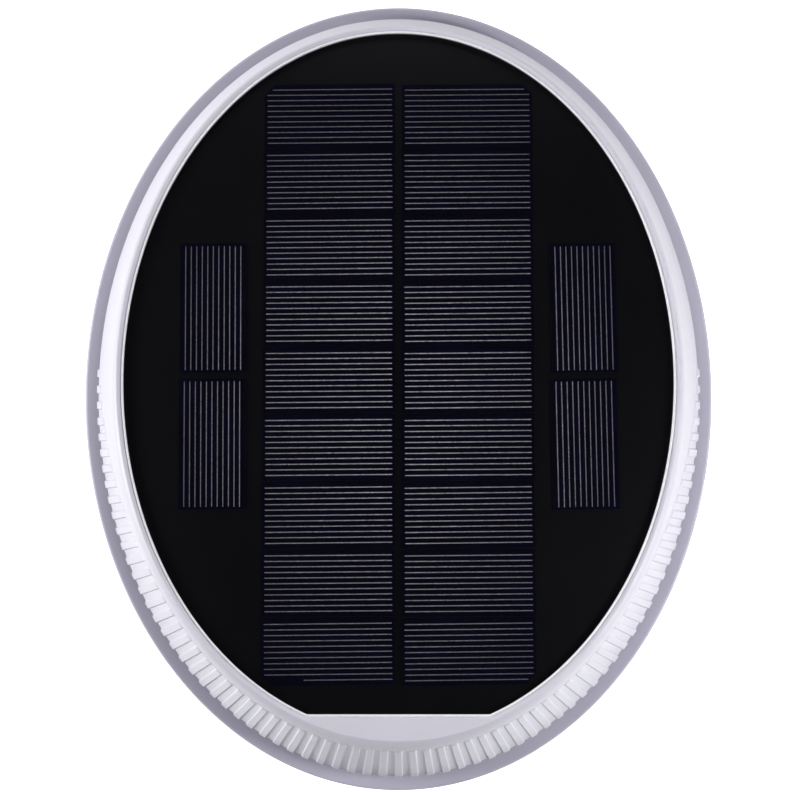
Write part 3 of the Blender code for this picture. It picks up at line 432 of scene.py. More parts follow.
def silver_material():
    """Printed silver paste, uneven along each finger. Its colour carries a painted highlight:
    bright round the panel's middle, darker away from it.
    """
    made, tree, shader = node_material("silver_paste")
    sparkle = ramp_range(tree, noise_node(tree, 2000.0, 4.0), 0.0, 1.0)
    mixed = mix_colors(tree, sparkle, (0.08, 0.08, 0.10), (1.0, 0.98, 1.0))
    # Painted highlight: the paste's colour is mixed towards dark with distance from the panel's
    # middle.
    away = tree.nodes.new("ShaderNodeVectorMath")
    away.operation = "LENGTH"
    from_middle = stretched_place(tree, (1.0 / PANEL_HALF_X, 1.0 / PANEL_HALF_Y, 0.0))
    sheen_fade = tree.nodes.new("ShaderNodeMapRange")
    sheen_fade.inputs["From Min"].default_value = 0.2
    sheen_fade.inputs["From Max"].default_value = 0.85
    sheen_fade.inputs["To Min"].default_value = 0.0
    sheen_fade.inputs["To Max"].default_value = 0.78
    tree.links.new(from_middle, away.inputs[0])
    tree.links.new(away.outputs["Value"], sheen_fade.inputs["Value"])
    painted_sheen_mix = tree.nodes.new("ShaderNodeMix")
    painted_sheen_mix.data_type = "RGBA"
    painted_sheen_mix.inputs["B"].default_value = (0.05, 0.05, 0.08, 1.0)
    tree.links.new(sheen_fade.outputs["Result"], painted_sheen_mix.inputs["Factor"])
    tree.links.new(mixed, painted_sheen_mix.inputs["A"])
    tree.links.new(painted_sheen_mix.outputs["Result"], shader.inputs["Base Color"])
    vary_roughness(tree, shader, 2500.0, 0.35, 0.65)
    bump(tree, shader, noise_node(tree, 6000.0), 0.4, GRAIN_DEPTH)
    shader.inputs["Metallic"].default_value = 0.1
    return made


def winding_material():
    made, tree, shader = node_material("copper_winding")
    strands = texture_node(tree, "ShaderNodeTexWave", 900.0)
    strands.bands_direction = "Z"
    strands.inputs["Distortion"].default_value = 1.5
    turns_and_shade = strands.outputs["Fac"]
    # Painted shade between the wires: the copper is darker where the turns' relief is low.
    mixed = mix_colors(tree, turns_and_shade, (0.20, 0.055, 0.02), (0.62, 0.24, 0.10))
    tree.links.new(mixed, shader.inputs["Base Color"])
    bump(tree, shader, turns_and_shade, 0.8, STRAND_DEPTH)
    vary_roughness(tree, shader, 800.0, 0.28, 0.42)
    shader.inputs["Metallic"].default_value = 1.0
    return made


def board_material():
    """Green circuit board with paler tracks."""
    made, tree, shader = node_material("circuit_board")
    tracks = texture_node(tree, "ShaderNodeTexBrick", 420.0)
    tracks.inputs["Color1"].default_value = (0.010, 0.10, 0.035, 1.0)
    tracks.inputs["Color2"].default_value = (0.012, 0.13, 0.045, 1.0)
    tracks.inputs["Mortar"].default_value = (0.03, 0.24, 0.09, 1.0)
    tracks.inputs["Mortar Size"].default_value = 0.03
    tree.links.new(tracks.outputs["Color"], shader.inputs["Base Color"])
    bump(tree, shader, tracks.outputs["Fac"], 0.3, TRACK_DEPTH)
    vary_roughness(tree, shader, 600.0, 0.35, 0.5)
    return made


def cover_material():
    """Clear laminate. It hazes what is under it a little."""
    made, tree, shader = node_material("clear_laminate")
    shade = ramp_range(tree, noise_node(tree, 30.0), 0.0, 1.0)
    mixed = mix_colors(tree, shade, (0.004, 0.004, 0.006), (0.007, 0.007, 0.010))
    tree.links.new(mixed, shader.inputs["Base Color"])
    vary_roughness(tree, shader, 2200.0, 0.22, 0.34)
    shader.inputs["Specular IOR Level"].default_value = 0.12
    shader.inputs["Alpha"].default_value = 0.12
    return made


WHITE = surface("white_plastic", (0.70, 0.69, 0.77), 0.42, mottle=0.012)
GREY = surface("grey_white_plastic", (0.53, 0.51, 0.62), 0.45, mottle=0.02)
BACKSHEET = surface(
    "black_backsheet", (0.003, 0.003, 0.004), 0.4, mottle=0.15, grain_scale=1800.0, specular=0.1
)
SILICON = surface(
    "silicon_cell", (0.0012, 0.0012, 0.009), 0.35, mottle=0.3, mottle_scale=70.0, specular=0.05
)
SILVER = silver_material()
COVER = cover_material()
SEALANT = surface(
    "white_sealant", (0.95, 0.945, 0.98), 0.3, mottle=0.02, mottle_scale=300.0, grain_scale=900.0
)
BLACK = surface("black_plastic", (0.018, 0.018, 0.020), 0.48, mottle=0.15)
FAN_PLASTIC = surface("fan_plastic", (0.030, 0.030, 0.033), 0.40, mottle=0.12, grain_scale=1800.0)
BRACKET_PLASTIC = surface("bracket_plastic", (0.022, 0.022, 0.024), 0.55, mottle=0.15, grain=0.4)
GRILLE_PLASTIC = surface("grille_plastic", (0.50, 0.485, 0.54), 0.5, mottle=0.03)
ZINC = surface(
    "zinc_steel", (0.56, 0.56, 0.57), 0.34, 1.0, mottle=0.12, mottle_scale=350.0, rough_spread=0.1
)
SCREW_STEEL = surface("screw_steel", (0.60, 0.60, 0.61), 0.28, 1.0, mottle=0.1, mottle_scale=600.0)
BRIGHT = surface(
    "bright_steel",
    (0.66, 0.66, 0.67),
    0.2,
    1.0,
    mottle=0.05,
    grain_scale=3000.0,
    stretch=(1.0, 1.0, 14.0),
)
FERRITE = surface(
    "ferrite", (0.035, 0.035, 0.038), 0.6, 0.2, mottle=0.3, mottle_scale=500.0, grain=0.5
)
BAKELITE = surface("bakelite", (0.050, 0.026, 0.014), 0.38, mottle=0.35, mottle_scale=900.0)
RED = surface("red_insulation", (0.42, 0.012, 0.010), 0.36, mottle=0.08, mottle_scale=200.0)
BLACK_WIRE = surface(
    "black_insulation", (0.015, 0.015, 0.016), 0.36, mottle=0.2, mottle_scale=200.0
)
FOAM = foam_material()
WINDING = winding_material()
CIRCUIT = board_material()


# ---------------- mesh helpers


def new_mesh(name, shape):
    mesh = bpy.data.meshes.new(name)
    shape.to_mesh(mesh)
    shape.free()
    return mesh


def loft(name, rings, wrap=False):
    """A mesh through rings of equal length, capped at both ends or, with wrap, closed on itself."""
    shape = bmesh.new()
    rows = [[shape.verts.new(point) for point in ring] for ring in rings]
    steps = list(zip(rows, rows[1:]))
    if wrap:
        steps.append((rows[-1], rows[0]))
    else:
        shape.faces.new(list(reversed(rows[0])))
        shape.faces.new(rows[-1])
    for lower, upper in steps:
        for index, corner in enumerate(lower):
            after = (index + 1) % len(lower)
            shape.faces.new((corner, lower[after], upper[after], upper[index]))
    bmesh.ops.recalc_face_normals(shape, faces=shape.faces)
    return new_mesh(name, shape)


def ellipse(half_x, half_y, z, count=FLANGE_SEGMENTS):
    angles = [math.tau * index / count for index in range(count)]
    return [Vector((half_x * math.cos(angle), half_y * math.sin(angle), z)) for angle in angles]


def rounded(corners, steps=ROUND_STEPS):
    """A path through (across, up, radius) corners, each one rounded by its radius."""
    path = []
    count = len(corners)
    for index, (across, up, radius) in enumerate(corners):
        here = Vector((across, up))
        before = Vector(corners[index - 1][:2])
        after = Vector(corners[(index + 1) % count][:2])
        if radius <= 0.0:
            path.append(here)
            continue
        way_in = (before - here).normalized()
        way_out = (after - here).normalized()
        start = here + way_in * radius
        end = here + way_out * radius
        for step in range(steps + 1):
            t = step / steps
            path.append(start.lerp(here, t).lerp(here.lerp(end, t), t))
    return path


def turned(name, corners, segments=TURNED_SEGMENTS):
    """A turned ring from (radius, height, rounding) corners, in order along its outline."""
    path = rounded(corners, TURNED_STEPS)
    return loft(name, [ellipse(point.x, point.x, point.y, segments) for point in path], wrap=True)


def placed_cylinder(shape, radius, depth, place, segments):
    bmesh.ops.create_cone(
        shape,
        cap_ends=True,
        segments=segments,
        radius1=radius,
        radius2=radius,
        depth=depth,
        matrix=place,
    )


def cylinder_into(shape, radius, low, high, centre, segments=CYLINDER_SEGMENTS):
    place = Matrix.Translation((centre[0], centre[1], (low + high) / 2))
    placed_cylinder(shape, radius, high - low, place, segments)


def evaluated(obj):
    bpy.context.view_layer.update()
    graph = bpy.context.evaluated_depsgraph_get()
    return bpy.data.meshes.new_from_object(obj.evaluated_get(graph))


def boolean(mesh, tools):
    """The mesh after a series of (operation, tool mesh) Booleans."""
    subject = bpy.data.objects.new("subject", mesh)
    bpy.context.scene.collection.objects.link(subject)
    helpers = []
    for operation, tool in tools:
        helper = bpy.data.objects.new("helper", tool)
        bpy.context.scene.collection.objects.link(helper)
        modifier = subject.modifiers.new(operation, "BOOLEAN")
        modifier.operation = operation
        modifier.object = helper
        modifier.solver = "EXACT"
        helpers.append(helper)
    result = evaluated(subject)
    for helper in [subject, *helpers]:
        bpy.data.objects.remove(helper, do_unlink=True)
    return result


def cylinders(places, radius, low, high, segments=CYLINDER_SEGMENTS):
    shape = bmesh.new()
    for place in places:
        cylinder_into(shape, radius, low, high, place, segments)
    return new_mesh("cylinders", shape)


def add_piece(name, mesh, materials, stands_for=(), body=HOUSING, angle=SHARP_ANGLE):
    """Links a finished mesh as a piece that rides on a body, with edges sharp above an angle."""
    mesh.name = name
    for material in materials:
        mesh.materials.append(material)
    mesh.shade_smooth()
    mesh.set_sharp_from_angle(angle=math.radians(angle))
    piece = bpy.data.objects.new(name, mesh)
    bpy.context.scene.collection.objects.link(piece)
    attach(piece, body)
    if stands_for:
        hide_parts(*stands_for)


def round_places(angles, reach):
    return [(reach * math.cos(math.radians(a)), reach * math.sin(math.radians(a))) for a in angles]


def hood_screw_places():
    return [(side * x, y) for x, y in HOOD_SCREW_PLACES for side in (-1, 1)]


# ---------------- hood


PANEL_ORIGIN = Matrix.Translation((0.0, 0.0, FLANGE_TOP + TOP_HEIGHT))
PANEL_PLACE = PANEL_ORIGIN @ Matrix.Rotation(-TILT, 4, "X")
PANEL_MIDDLE = Vector((0.0, PANEL_CENTRE_V))


def top_plane(y):
    return FLANGE_TOP + TOP_HEIGHT - TOP_SLOPE * y


def panel_point(direction, grow, chord_grow, height):
    """Where a ray from the panel's middle meets its outline, grown by a margin, in frame axes."""
    half_x = PANEL_HALF_X + grow
    half_y = PANEL_HALF_Y + grow
    reach = 1.0 / math.hypot(direction.x / half_x, direction.y / half_y)
    chord = PANEL_CHORD_V - chord_grow
    if direction.y < 0.0:
        reach = min(reach, (chord - PANEL_CENTRE_V) / direction.y)
    flat = PANEL_MIDDLE + direction * reach
    return PANEL_PLACE @ Vector((flat.x, flat.y, height))


def panel_directions():
    """Directions from the panel's middle, among them those to the two ends of its straight edge."""
    corner = math.asin((PANEL_CHORD_V - PANEL_CENTRE_V) / PANEL_HALF_Y)
    right = math.atan2(PANEL_HALF_Y * math.sin(corner), PANEL_HALF_X * math.cos(corner))
    left = math.pi - right
    curved = PANEL_STATIONS - CHORD_STATIONS
    angles = [right + (left - right) * index / curved for index in range(curved)]
    chord = 2 * right + math.pi
    angles += [left + chord * index / CHORD_STATIONS for index in range(CHORD_STATIONS)]
    return [Vector((math.cos(angle), math.sin(angle))) for angle in angles]


def panel_ring(directions, grow, height):
    return [panel_point(direction, grow, grow, height) for direction in directions]


def foot_angles(fractions):
    """Ellipse angles of the hood's foot at rising fractions of its length, counted from +X."""
    lengths = [0.0]
    for index in range(FOOT_SAMPLES):
        angle = math.tau * (index + 0.5) / FOOT_SAMPLES
        step = math.hypot(FOOT_HALF_X * math.sin(angle), FOOT_HALF_Y * math.cos(angle))
        lengths.append(lengths[-1] + step)
    found = []
    index = 0
    for fraction in fractions:
        wanted = fraction * lengths[-1]
        while lengths[index + 1] < wanted:
            index += 1
        part = (wanted - lengths[index]) / (lengths[index + 1] - lengths[index])
        found.append(math.tau * (index + part) / FOOT_SAMPLES)
    return found


def skirt_line(angle):
    """Foot, outward direction and crest of the hood's skirt, in plan."""
    foot = Vector((FOOT_HALF_X * math.cos(angle), FOOT_CENTRE_Y + FOOT_HALF_Y * math.sin(angle)))
    inward = -Vector((math.cos(angle) / FOOT_HALF_X, math.sin(angle) / FOOT_HALF_Y)).normalized()
    scale = Vector((1 / CREST_HALF_X, 1 / CREST_HALF_Y))
    start = (foot - Vector((0.0, CREST_CENTRE_Y))) * scale
    step = inward * scale
    square = step.dot(step)
    half = start.dot(step)
    reach = (-half - math.sqrt(half * half - square * (start.dot(start) - 1.0))) / square
    return foot, -inward, foot + inward * reach


def rib_length(y):
    """Height that the ribs reach above the hood's foot, where its foot is at y."""
    return RIB_GROWTH * (RIB_END_Y - y)


def hood_station(angle, share):
    """One line round the hood's section: tray, shoulder, skirt with share of its rib, inside."""
    foot, outward, crest = skirt_line(angle)
    out = Vector((outward.x, outward.y, 0.0))
    top = top_plane(crest.y)
    corner = crest.lerp(foot, SHOULDER_SHARE)
    foot = Vector((foot.x, foot.y, FOOT_Z))
    corner = Vector((corner.x, corner.y, top))
    crest = Vector((crest.x, crest.y, top))
    shoulder = corner.lerp(foot, SHOULDER_DROP)
    corner.z -= SHOULDER_FALL * (corner - crest).length
    line = []

    # Recess: tray floor, wall, rounded lip, ledge and slope.
    flat = PANEL_PLACE.inverted() @ crest
    direction = (Vector((flat.x, flat.y)) - PANEL_MIDDLE).normalized()
    ledge = RECESS_GAP + LEDGE_WIDTH
    lip = RECESS_GAP + LIP_ROUND / 2
    for grow, height in (
        (RECESS_GAP, -TRAY_DEPTH),
        (RECESS_GAP, -LEDGE_DEPTH - LIP_ROUND / 2),
        (lip, -LEDGE_DEPTH),
        (ledge, -LEDGE_DEPTH),
    ):
        line.append(panel_point(direction, grow, grow, height))
    for part, drop in SLOPE_PROFILE:
        grow = ledge + SLOPE_WIDTH * part
        chord_grow = ledge + CHORD_SLOPE_WIDTH * part
        point = panel_point(direction, grow, chord_grow, -LEDGE_DEPTH * drop)
        inside = (out.dot(crest) - (2 - drop) * CREST_FLAT) - out.dot(point)
        line.append(point + out * min(inside, 0.0))
    line.append(crest - out * CREST_FLAT)

    # Shoulder, from the crest down to the skirt.
    for step in range(SHOULDER_STEPS + 1):
        t = step / SHOULDER_STEPS
        line.append(crest.lerp(corner, t).lerp(corner.lerp(shoulder, t), t))

    # Skirt with its rib.
    rise = shoulder.z - FOOT_Z
    height = rib_length(foot.y)
    bead = BEAD_RAISE if height > RIB_LEAST_LENGTH else 0.0
    raised = RIB_RAISE * share if height > RIB_LEAST_LENGTH else 0.0
    height = min(max(height, RIB_LEAST_LENGTH), rise - RIB_TOP_GAP)
    for above, part in BEAD_PROFILE:
        up = (height + BEAD_HEIGHT * above) / rise
        line.append(foot.lerp(shoulder, up) + out * bead * part)
    for drop, part in RIB_LEAD_PROFILE:
        up = (height - RIB_LEAD_IN * drop) / rise
        line.append(foot.lerp(shoulder, up) + out * raised * part)
    lifted = Vector((0.0, 0.0, FOOT_ROUND))
    line.append(foot + lifted + out * raised)
    line.append(foot + lifted * ARC_MIDDLE + out * (raised - ARC_MIDDLE * FOOT_ROUND))
    line.append(foot + out * (raised - FOOT_ROUND))

    # Inside of the skirt, up to the underside of the tray.
    line.append(foot - out * (HOOD_WALL - FOOT_ROUND))
    line.append(foot + lifted - out * HOOD_WALL)
    tray = TRAY_UNDERSIDE / math.cos(TILT)
    inner = foot.lerp(shoulder, (top - tray - FOOT_Z) / rise) - out * HOOD_WALL
    inner.z = top_plane(inner.y) - tray
    line.append(inner)
    return line


def build_hood():
    fractions = []
    shares = []
    for pitch in range(RIB_PITCHES):
        for place, share in RIB_PROFILE:
            fractions.append((pitch + place) / RIB_PITCHES)
            shares.append(share)
    lines = [hood_station(angle, share) for angle, share in zip(foot_angles(fractions), shares)]
    shell = loft("hood", list(zip(*lines)))
    bosses = bmesh.new()
    for x, y in hood_screw_places():
        top = top_plane(y) - (TRAY_DEPTH + TRAY_UNDERSIDE) / 2
        cylinder_into(bosses, BOSS_RADIUS, PAD_TOP + GAP, top, (x, y))
    deep = PAD_TOP + HOOD_HOLE_DEPTH
    holes = cylinders(hood_screw_places(), SCREW_RADIUS + GAP, FLANGE_TOP, deep, SHANK_SEGMENTS)
    lead_holes = bmesh.new()
    for lead in ("positive_lead", "negative_lead"):
        low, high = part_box(lead)
        x = low.x + LEAD_RADIUS if low.x < -LEAD_LEFT_REACH else high.x - LEAD_RADIUS
        middle = Vector((x, LEAD_HOLE_V, -(TRAY_DEPTH + TRAY_UNDERSIDE) / 2))
        place = PANEL_PLACE @ Matrix.Translation(middle)
        placed_cylinder(lead_holes, LEAD_HOLE_RADIUS, LEAD_HOLE_DEPTH, place, LEAD_HOLE_SEGMENTS)
    mesh = boolean(
        shell,
        [
            ("UNION", new_mesh("bosses", bosses)),
            ("DIFFERENCE", holes),
            ("DIFFERENCE", new_mesh("lead_holes", lead_holes)),
        ],
    )
    add_piece("hood", mesh, [WHITE], ("hood_shell",), angle=RIB_SHARP_ANGLE)


# ---------------- flange, duct, gasket


def fixing_places():
    half_x = FLANGE_HALF_X - FIXING_INSET
    half_y = FLANGE_HALF_Y - FIXING_INSET
    angles = [math.tau * index / FIXING_COUNT for index in range(FIXING_COUNT)]
    return [(half_x * math.cos(angle), half_y * math.sin(angle)) for angle in angles]


def flange_rings():
    """Rings round the duct's and the flange's section. Round ones turn oval across the flange."""
    duct = [
        (DUCT_OUTER + COLLAR_WIDTH, FLANGE_BOTTOM, 0.0),
        (DUCT_OUTER, FLANGE_BOTTOM, FLANGE_FILLET),
        (DUCT_OUTER, 0.0, DUCT_ROUND),
        (DUCT_RADIUS, 0.0, DUCT_ROUND),
        (DUCT_RADIUS, DAM_TOP, DUCT_ROUND),
        (DUCT_OUTER, DAM_TOP, DUCT_ROUND),
        (DUCT_OUTER, FLANGE_TOP, FLANGE_FILLET),
        (DUCT_OUTER + COLLAR_WIDTH, FLANGE_TOP, 0.0),
    ]
    rim = [
        (RIM_WIDTH, FLANGE_TOP, 0.0),
        (0.0, FLANGE_TOP, FLANGE_EDGE_ROUND),
        (0.0, FLANGE_BOTTOM, FLANGE_EDGE_ROUND),
        (RIM_WIDTH, FLANGE_BOTTOM, 0.0),
    ]
    rings = [ellipse(point.x, point.x, point.y) for point in rounded(duct)]
    for point in rounded(rim, FLANGE_EDGE_STEPS):
        rings.append(ellipse(FLANGE_HALF_X - point.x, FLANGE_HALF_Y - point.x, point.y))
    return rings


def build_flange():
    below = FLANGE_BOTTOM - OVERCUT
    root = FLANGE_TOP - LUG_SINK
    bore = SCREW_RADIUS + GAP
    lugs = bmesh.new()
    for place in hood_screw_places():
        cylinder_into(lugs, PAD_RADIUS, root, PAD_TOP, place)
    for place in round_places(ARM_ANGLES, ARM_REACH + ARM_PAD_SHIFT):
        cylinder_into(lugs, ARM_PAD_RADIUS, root, DAM_TOP - OFF_FLUSH, place)
    for place in round_places(GRILLE_LUG_ANGLES, GRILLE_SCREW_REACH + GRILLE_LUG_SHIFT):
        cylinder_into(lugs, GRILLE_LUG_RADIUS, GRILLE_HIGH.z + GAP, GRILLE_LUG_TOP, place)
    holes = bmesh.new()
    for place in fixing_places():
        cylinder_into(holes, FIXING_HOLE_RADIUS, below, FLANGE_TOP + OVERCUT, place)
    for place in hood_screw_places():
        seat = FLANGE_BOTTOM + SCREW_HEAD_HEIGHT + GAP
        cylinder_into(holes, SCREW_HEAD_RADIUS + GAP, below, seat, place)
    for place in round_places(ARM_ANGLES, ARM_REACH):
        low = DAM_TOP - ARM_HOLE_DEPTH
        cylinder_into(holes, bore, low, DAM_TOP + OVERCUT, place, SHANK_SEGMENTS)
    for place in round_places(GRILLE_LUG_ANGLES, GRILLE_SCREW_REACH):
        high = GRILLE_LUG_TOP - GRILLE_LUG_ROOF
        cylinder_into(holes, bore, GRILLE_HIGH.z, high, place, SHANK_SEGMENTS)
    above = PAD_TOP + OVERCUT
    shanks = cylinders(hood_screw_places(), bore, FLANGE_BOTTOM, above, SHANK_SEGMENTS)
    mesh = boolean(
        loft("roof_flange", flange_rings(), wrap=True),
        [
            ("UNION", new_mesh("lugs", lugs)),
            ("DIFFERENCE", new_mesh("holes", holes)),
            ("DIFFERENCE", shanks),
        ],
    )
    add_piece("roof_flange", mesh, [GREY], ("roof_base",))


def build_gasket():
    """Foam ring with softly rounded edges and six holes."""
    low = GASKET_LOW.z
    high = GASKET_HIGH.z
    section = [
        (0.0, low, GASKET_ROUND),
        (0.0, high, GASKET_ROUND),
        (GASKET_WIDTH, high, GASKET_ROUND),
        (GASKET_WIDTH, low, GASKET_ROUND),
    ]
    rings = []
    for point in rounded(section):
        rings.append(ellipse(GASKET_HIGH.x - point.x, GASKET_HIGH.y - point.x, point.y))
    holes = cylinders(fixing_places(), FIXING_HOLE_RADIUS, low - OVERCUT, high + OVERCUT)
    mesh = boolean(loft("foam_gasket", rings, wrap=True), [("DIFFERENCE", holes)])
    add_piece("foam_gasket", mesh, [FOAM], ("flange_gasket",))


# ---------------- solar panel


def panel_plate(name, low, high, round_off, material, node):
    """A board of the panel's outline, its upper edge slightly rounded."""
    directions = panel_directions()
    rings = [
        panel_ring(directions, 0.0, low),
        panel_ring(directions, 0.0, high - round_off),
        panel_ring(directions, -ARC_MIDDLE * round_off, high - ARC_MIDDLE * round_off),
        panel_ring(directions, -round_off, high),
    ]
    add_piece(name, loft(name, rings), [material], (node,))


def build_sealant():
    """Ring of sealant under the panel's edge, and the bead that it makes on the ledge outside."""
    directions = panel_directions()
    top = SEAL_BOTTOM + SEAL_THICK
    ring = [
        panel_ring(directions, -SEAL_INSET, SEAL_BOTTOM),
        panel_ring(directions, -SEAL_INSET, top),
        panel_ring(directions, -SEAL_INSET - SEAL_WIDTH, top),
        panel_ring(directions, -SEAL_INSET - SEAL_WIDTH, SEAL_BOTTOM),
    ]
    mesh = loft("sealant_ring", ring, wrap=True)
    add_piece("sealant_ring", mesh, [SEALANT], ("panel_seal",))
    low = -LEDGE_DEPTH + OFF_FLUSH
    bead = []
    for step in range(SEALANT_BEAD_STEPS + 1):
        angle = math.pi * step / SEALANT_BEAD_STEPS
        across = SEALANT_BEAD_START + SEALANT_BEAD_WIDTH * (0.5 - 0.5 * math.cos(angle))
        bead.append(panel_ring(directions, across, low + SEALANT_BEAD_HEIGHT * math.sin(angle)))
    for share in (0.8, 0.2):
        across = SEALANT_BEAD_START + SEALANT_BEAD_WIDTH * share
        bead.append(panel_ring(directions, across, low - SEALANT_BEAD_SINK))
    mesh = loft("sealant_bead", bead, wrap=True)
    add_piece("sealant_bead", mesh, [SEALANT])


def cell_mesh(size, corner, broken):
    """A wafer with its printed fingers, about its own middle.

    corner gives the signs of the cut corner, and broken the length that the first finger lacks.
    """
    half_x = size[0] / 2
    half_y = size[1] / 2
    outline = [(-half_x, -half_y), (half_x, -half_y), (half_x, half_y), (-half_x, half_y)]
    if corner:
        cut = []
        for x, y in outline:
            if (x * corner[0], y * corner[1]) == (half_x, half_y):
                beside = [(x - corner[0] * CORNER_CUT, y), (x, y - corner[1] * CORNER_CUT)]
                cut += beside if corner[0] * corner[1] < 0 else reversed(beside)
            else:
                cut.append((x, y))
        outline = cut
    shape = bmesh.new()
    rows = [[shape.verts.new((x, y, z)) for x, y in outline] for z in (0.0, CELL_THICK)]
    shape.faces.new(list(reversed(rows[0])))
    shape.faces.new(rows[1])
    for index, low in enumerate(rows[0]):
        after = (index + 1) % len(outline)
        shape.faces.new((low, rows[0][after], rows[1][after], rows[1][index]))
    lying = half_x > half_y
    reach = max(half_x, half_y) - FINGER_MARGIN
    for finger in range(FINGER_COUNT):
        across = (finger - (FINGER_COUNT - 1) / 2) * FINGER_PITCH
        ends = [-reach, reach]
        if corner and lying:
            into = CORNER_CUT - (half_y - across * corner[1])
            if into > 0:
                side = 1 if corner[0] > 0 else 0
                ends[side] -= corner[0] * into
        if broken and finger == 0:
            ends[0] += broken
        add_finger(shape, across, ends, lying)
    return new_mesh("cell", shape)


def add_finger(shape, across, ends, lying):
    """One finger: a low strip with sloping sides, on the wafer's face."""
    half = FINGER_WIDTH / 2
    low = CELL_THICK
    high = CELL_THICK + FINGER_RISE
    flat = half * FINGER_FACE_SHARE
    section = ((-half, low), (-flat, high), (flat, high), (half, low))
    rows = []
    for end in ends:
        row = []
        for side, z in section:
            point = (end, across + side, z) if lying else (across + side, end, z)
            row.append(shape.verts.new(point))
        rows.append(row)
    first, last = rows
    faces = [shape.faces.new(first), shape.faces.new(list(reversed(last)))]
    for index in range(len(section)):
        after = (index + 1) % len(section)
        corners = (first[index], last[index], last[after], first[after])
        faces.append(shape.faces.new(corners))
    for face in faces:
        face.material_index = 1
    bmesh.ops.recalc_face_normals(shape, faces=faces)


def add_cell(number, size, place, turn, corner=None, broken=0.0):
    """turn is how far the cell was laid out of true, in degrees."""
    mesh = cell_mesh(size, corner, broken)
    where = Matrix.Translation((place[0], place[1], CELL_BOTTOM))
    mesh.transform(PANEL_PLACE @ where @ Matrix.Rotation(math.radians(turn), 4, "Z"))
    node = f"solar_cell_{number:02d}"
    add_piece(f"cell_{number:02d}", mesh, [SILICON, SILVER], (node,))


def build_cells():
    """The cells were laid by hand, so that each one is slightly out of true."""
    draw = random.Random(CELL_SEED)
    last_row = CELL_ROWS - 1
    number = 1
    for row in range(CELL_ROWS):
        v = GRID_CENTRE_V + ROW_PITCH * (last_row / 2 - row)
        for side in (-1, 1):
            upright = {0: 1, last_row: -1}.get(row)
            corner = (side, upright) if upright else None
            place = (side * COLUMN_HALF_PITCH, v)
            broken = BROKEN_LENGTH if (row, side) == (last_row, -1) else 0.0
            turn = draw.uniform(*CELL_TURNS)
            add_cell(number, (CELL_LONG, CELL_SHORT), place, turn, corner, broken)
            number += 1
    for side in (-1, 1):
        for step in (0.5, -0.5):
            place = (side * SIDE_CELL_X, SIDE_CELL_V + step * SIDE_CELL_PITCH)
            add_cell(number, (CELL_SHORT, CELL_LONG), place, SIDE_CELL_TURNS[side])
            number += 1


def build_panel():
    build_sealant()
    panel_plate(
        "panel_board",
        BOARD_BOTTOM,
        BOARD_BOTTOM + BOARD_THICK,
        BOARD_ROUND,
        BACKSHEET,
        "panel_backsheet",
    )
    build_cells()
    panel_plate(
        "panel_front",
        COVER_BOTTOM,
        -LEDGE_DEPTH,
        COVER_ROUND,
        COVER,
        "panel_cover",
    )


# ---------------- fan and grille


def blade_mesh(start_angle):
    """One blade: sections of an aerofoil from the hub to the tip, where it thins out."""
    rings = []
    for radial in range(BLADE_STATIONS):
        share = radial / (BLADE_STATIONS - 1)
        radius = BLADE_ROOT_RADIUS + share * (BLADE_TIP_RADIUS - BLADE_ROOT_RADIUS)
        widened = share**BLADE_CHORD_POWER
        chord = BLADE_ROOT_CHORD + widened * (BLADE_TIP_CHORD - BLADE_ROOT_CHORD)
        pitch = BLADE_ROOT_PITCH + share * (BLADE_TIP_PITCH - BLADE_ROOT_PITCH)
        thick = BLADE_THICK * (1.0 - BLADE_THINNING * share)
        ring = []
        for side in (1, -1):
            for across in range(BLADE_SIDE_POINTS):
                t = across / BLADE_SIDE_POINTS
                t = t if side > 0 else 1.0 - t
                along = chord * (t - 0.5)
                bulge = BLADE_CAMBER * chord * (1 - (2 * t - 1) ** 2)
                bulge += side * thick / 2 * (1 - abs(2 * t - 1) ** BLADE_SECTION_POWER)
                turn = start_angle + (along * math.cos(pitch) + bulge * math.sin(pitch)) / radius
                height = BLADE_HEIGHT - along * math.sin(pitch) + bulge * math.cos(pitch)
                ring.append(Vector((radius * math.cos(turn), radius * math.sin(turn), height)))
        rings.append(ring)
    middle = sum(rings[-1], Vector()) / len(rings[-1])
    outward = Vector((middle.x, middle.y, 0.0)).normalized() * BLADE_TIP_ROUND
    rings.append([point.lerp(middle, BLADE_TIP_PINCH) + outward for point in rings[-1]])
    return loft("blade", rings)


def build_impeller():
    blades = [("UNION", blade_mesh(math.tau * index / BLADE_COUNT)) for index in range(BLADE_COUNT)]
    mesh = boolean(turned("impeller", HUB_PROFILE), blades)
    add_piece(
        "impeller",
        mesh,
        [FAN_PLASTIC],
        ("fan_impeller",),
        ROTOR,
        BLADE_SHARP_ANGLE,
    )


def slot_points(inner, outer, width, angle):
    """A slot with round ends, along a radius."""
    half = width / 2
    points = []
    for centre, start in ((outer - half, -90.0), (inner + half, 90.0)):
        for step in range(SLOT_END_STEPS + 1):
            turn = math.radians(start + 180.0 * step / SLOT_END_STEPS)
            points.append(Vector((centre + half * math.cos(turn), half * math.sin(turn), 0.0)))
    return [Matrix.Rotation(angle, 3, "Z") @ point for point in points]


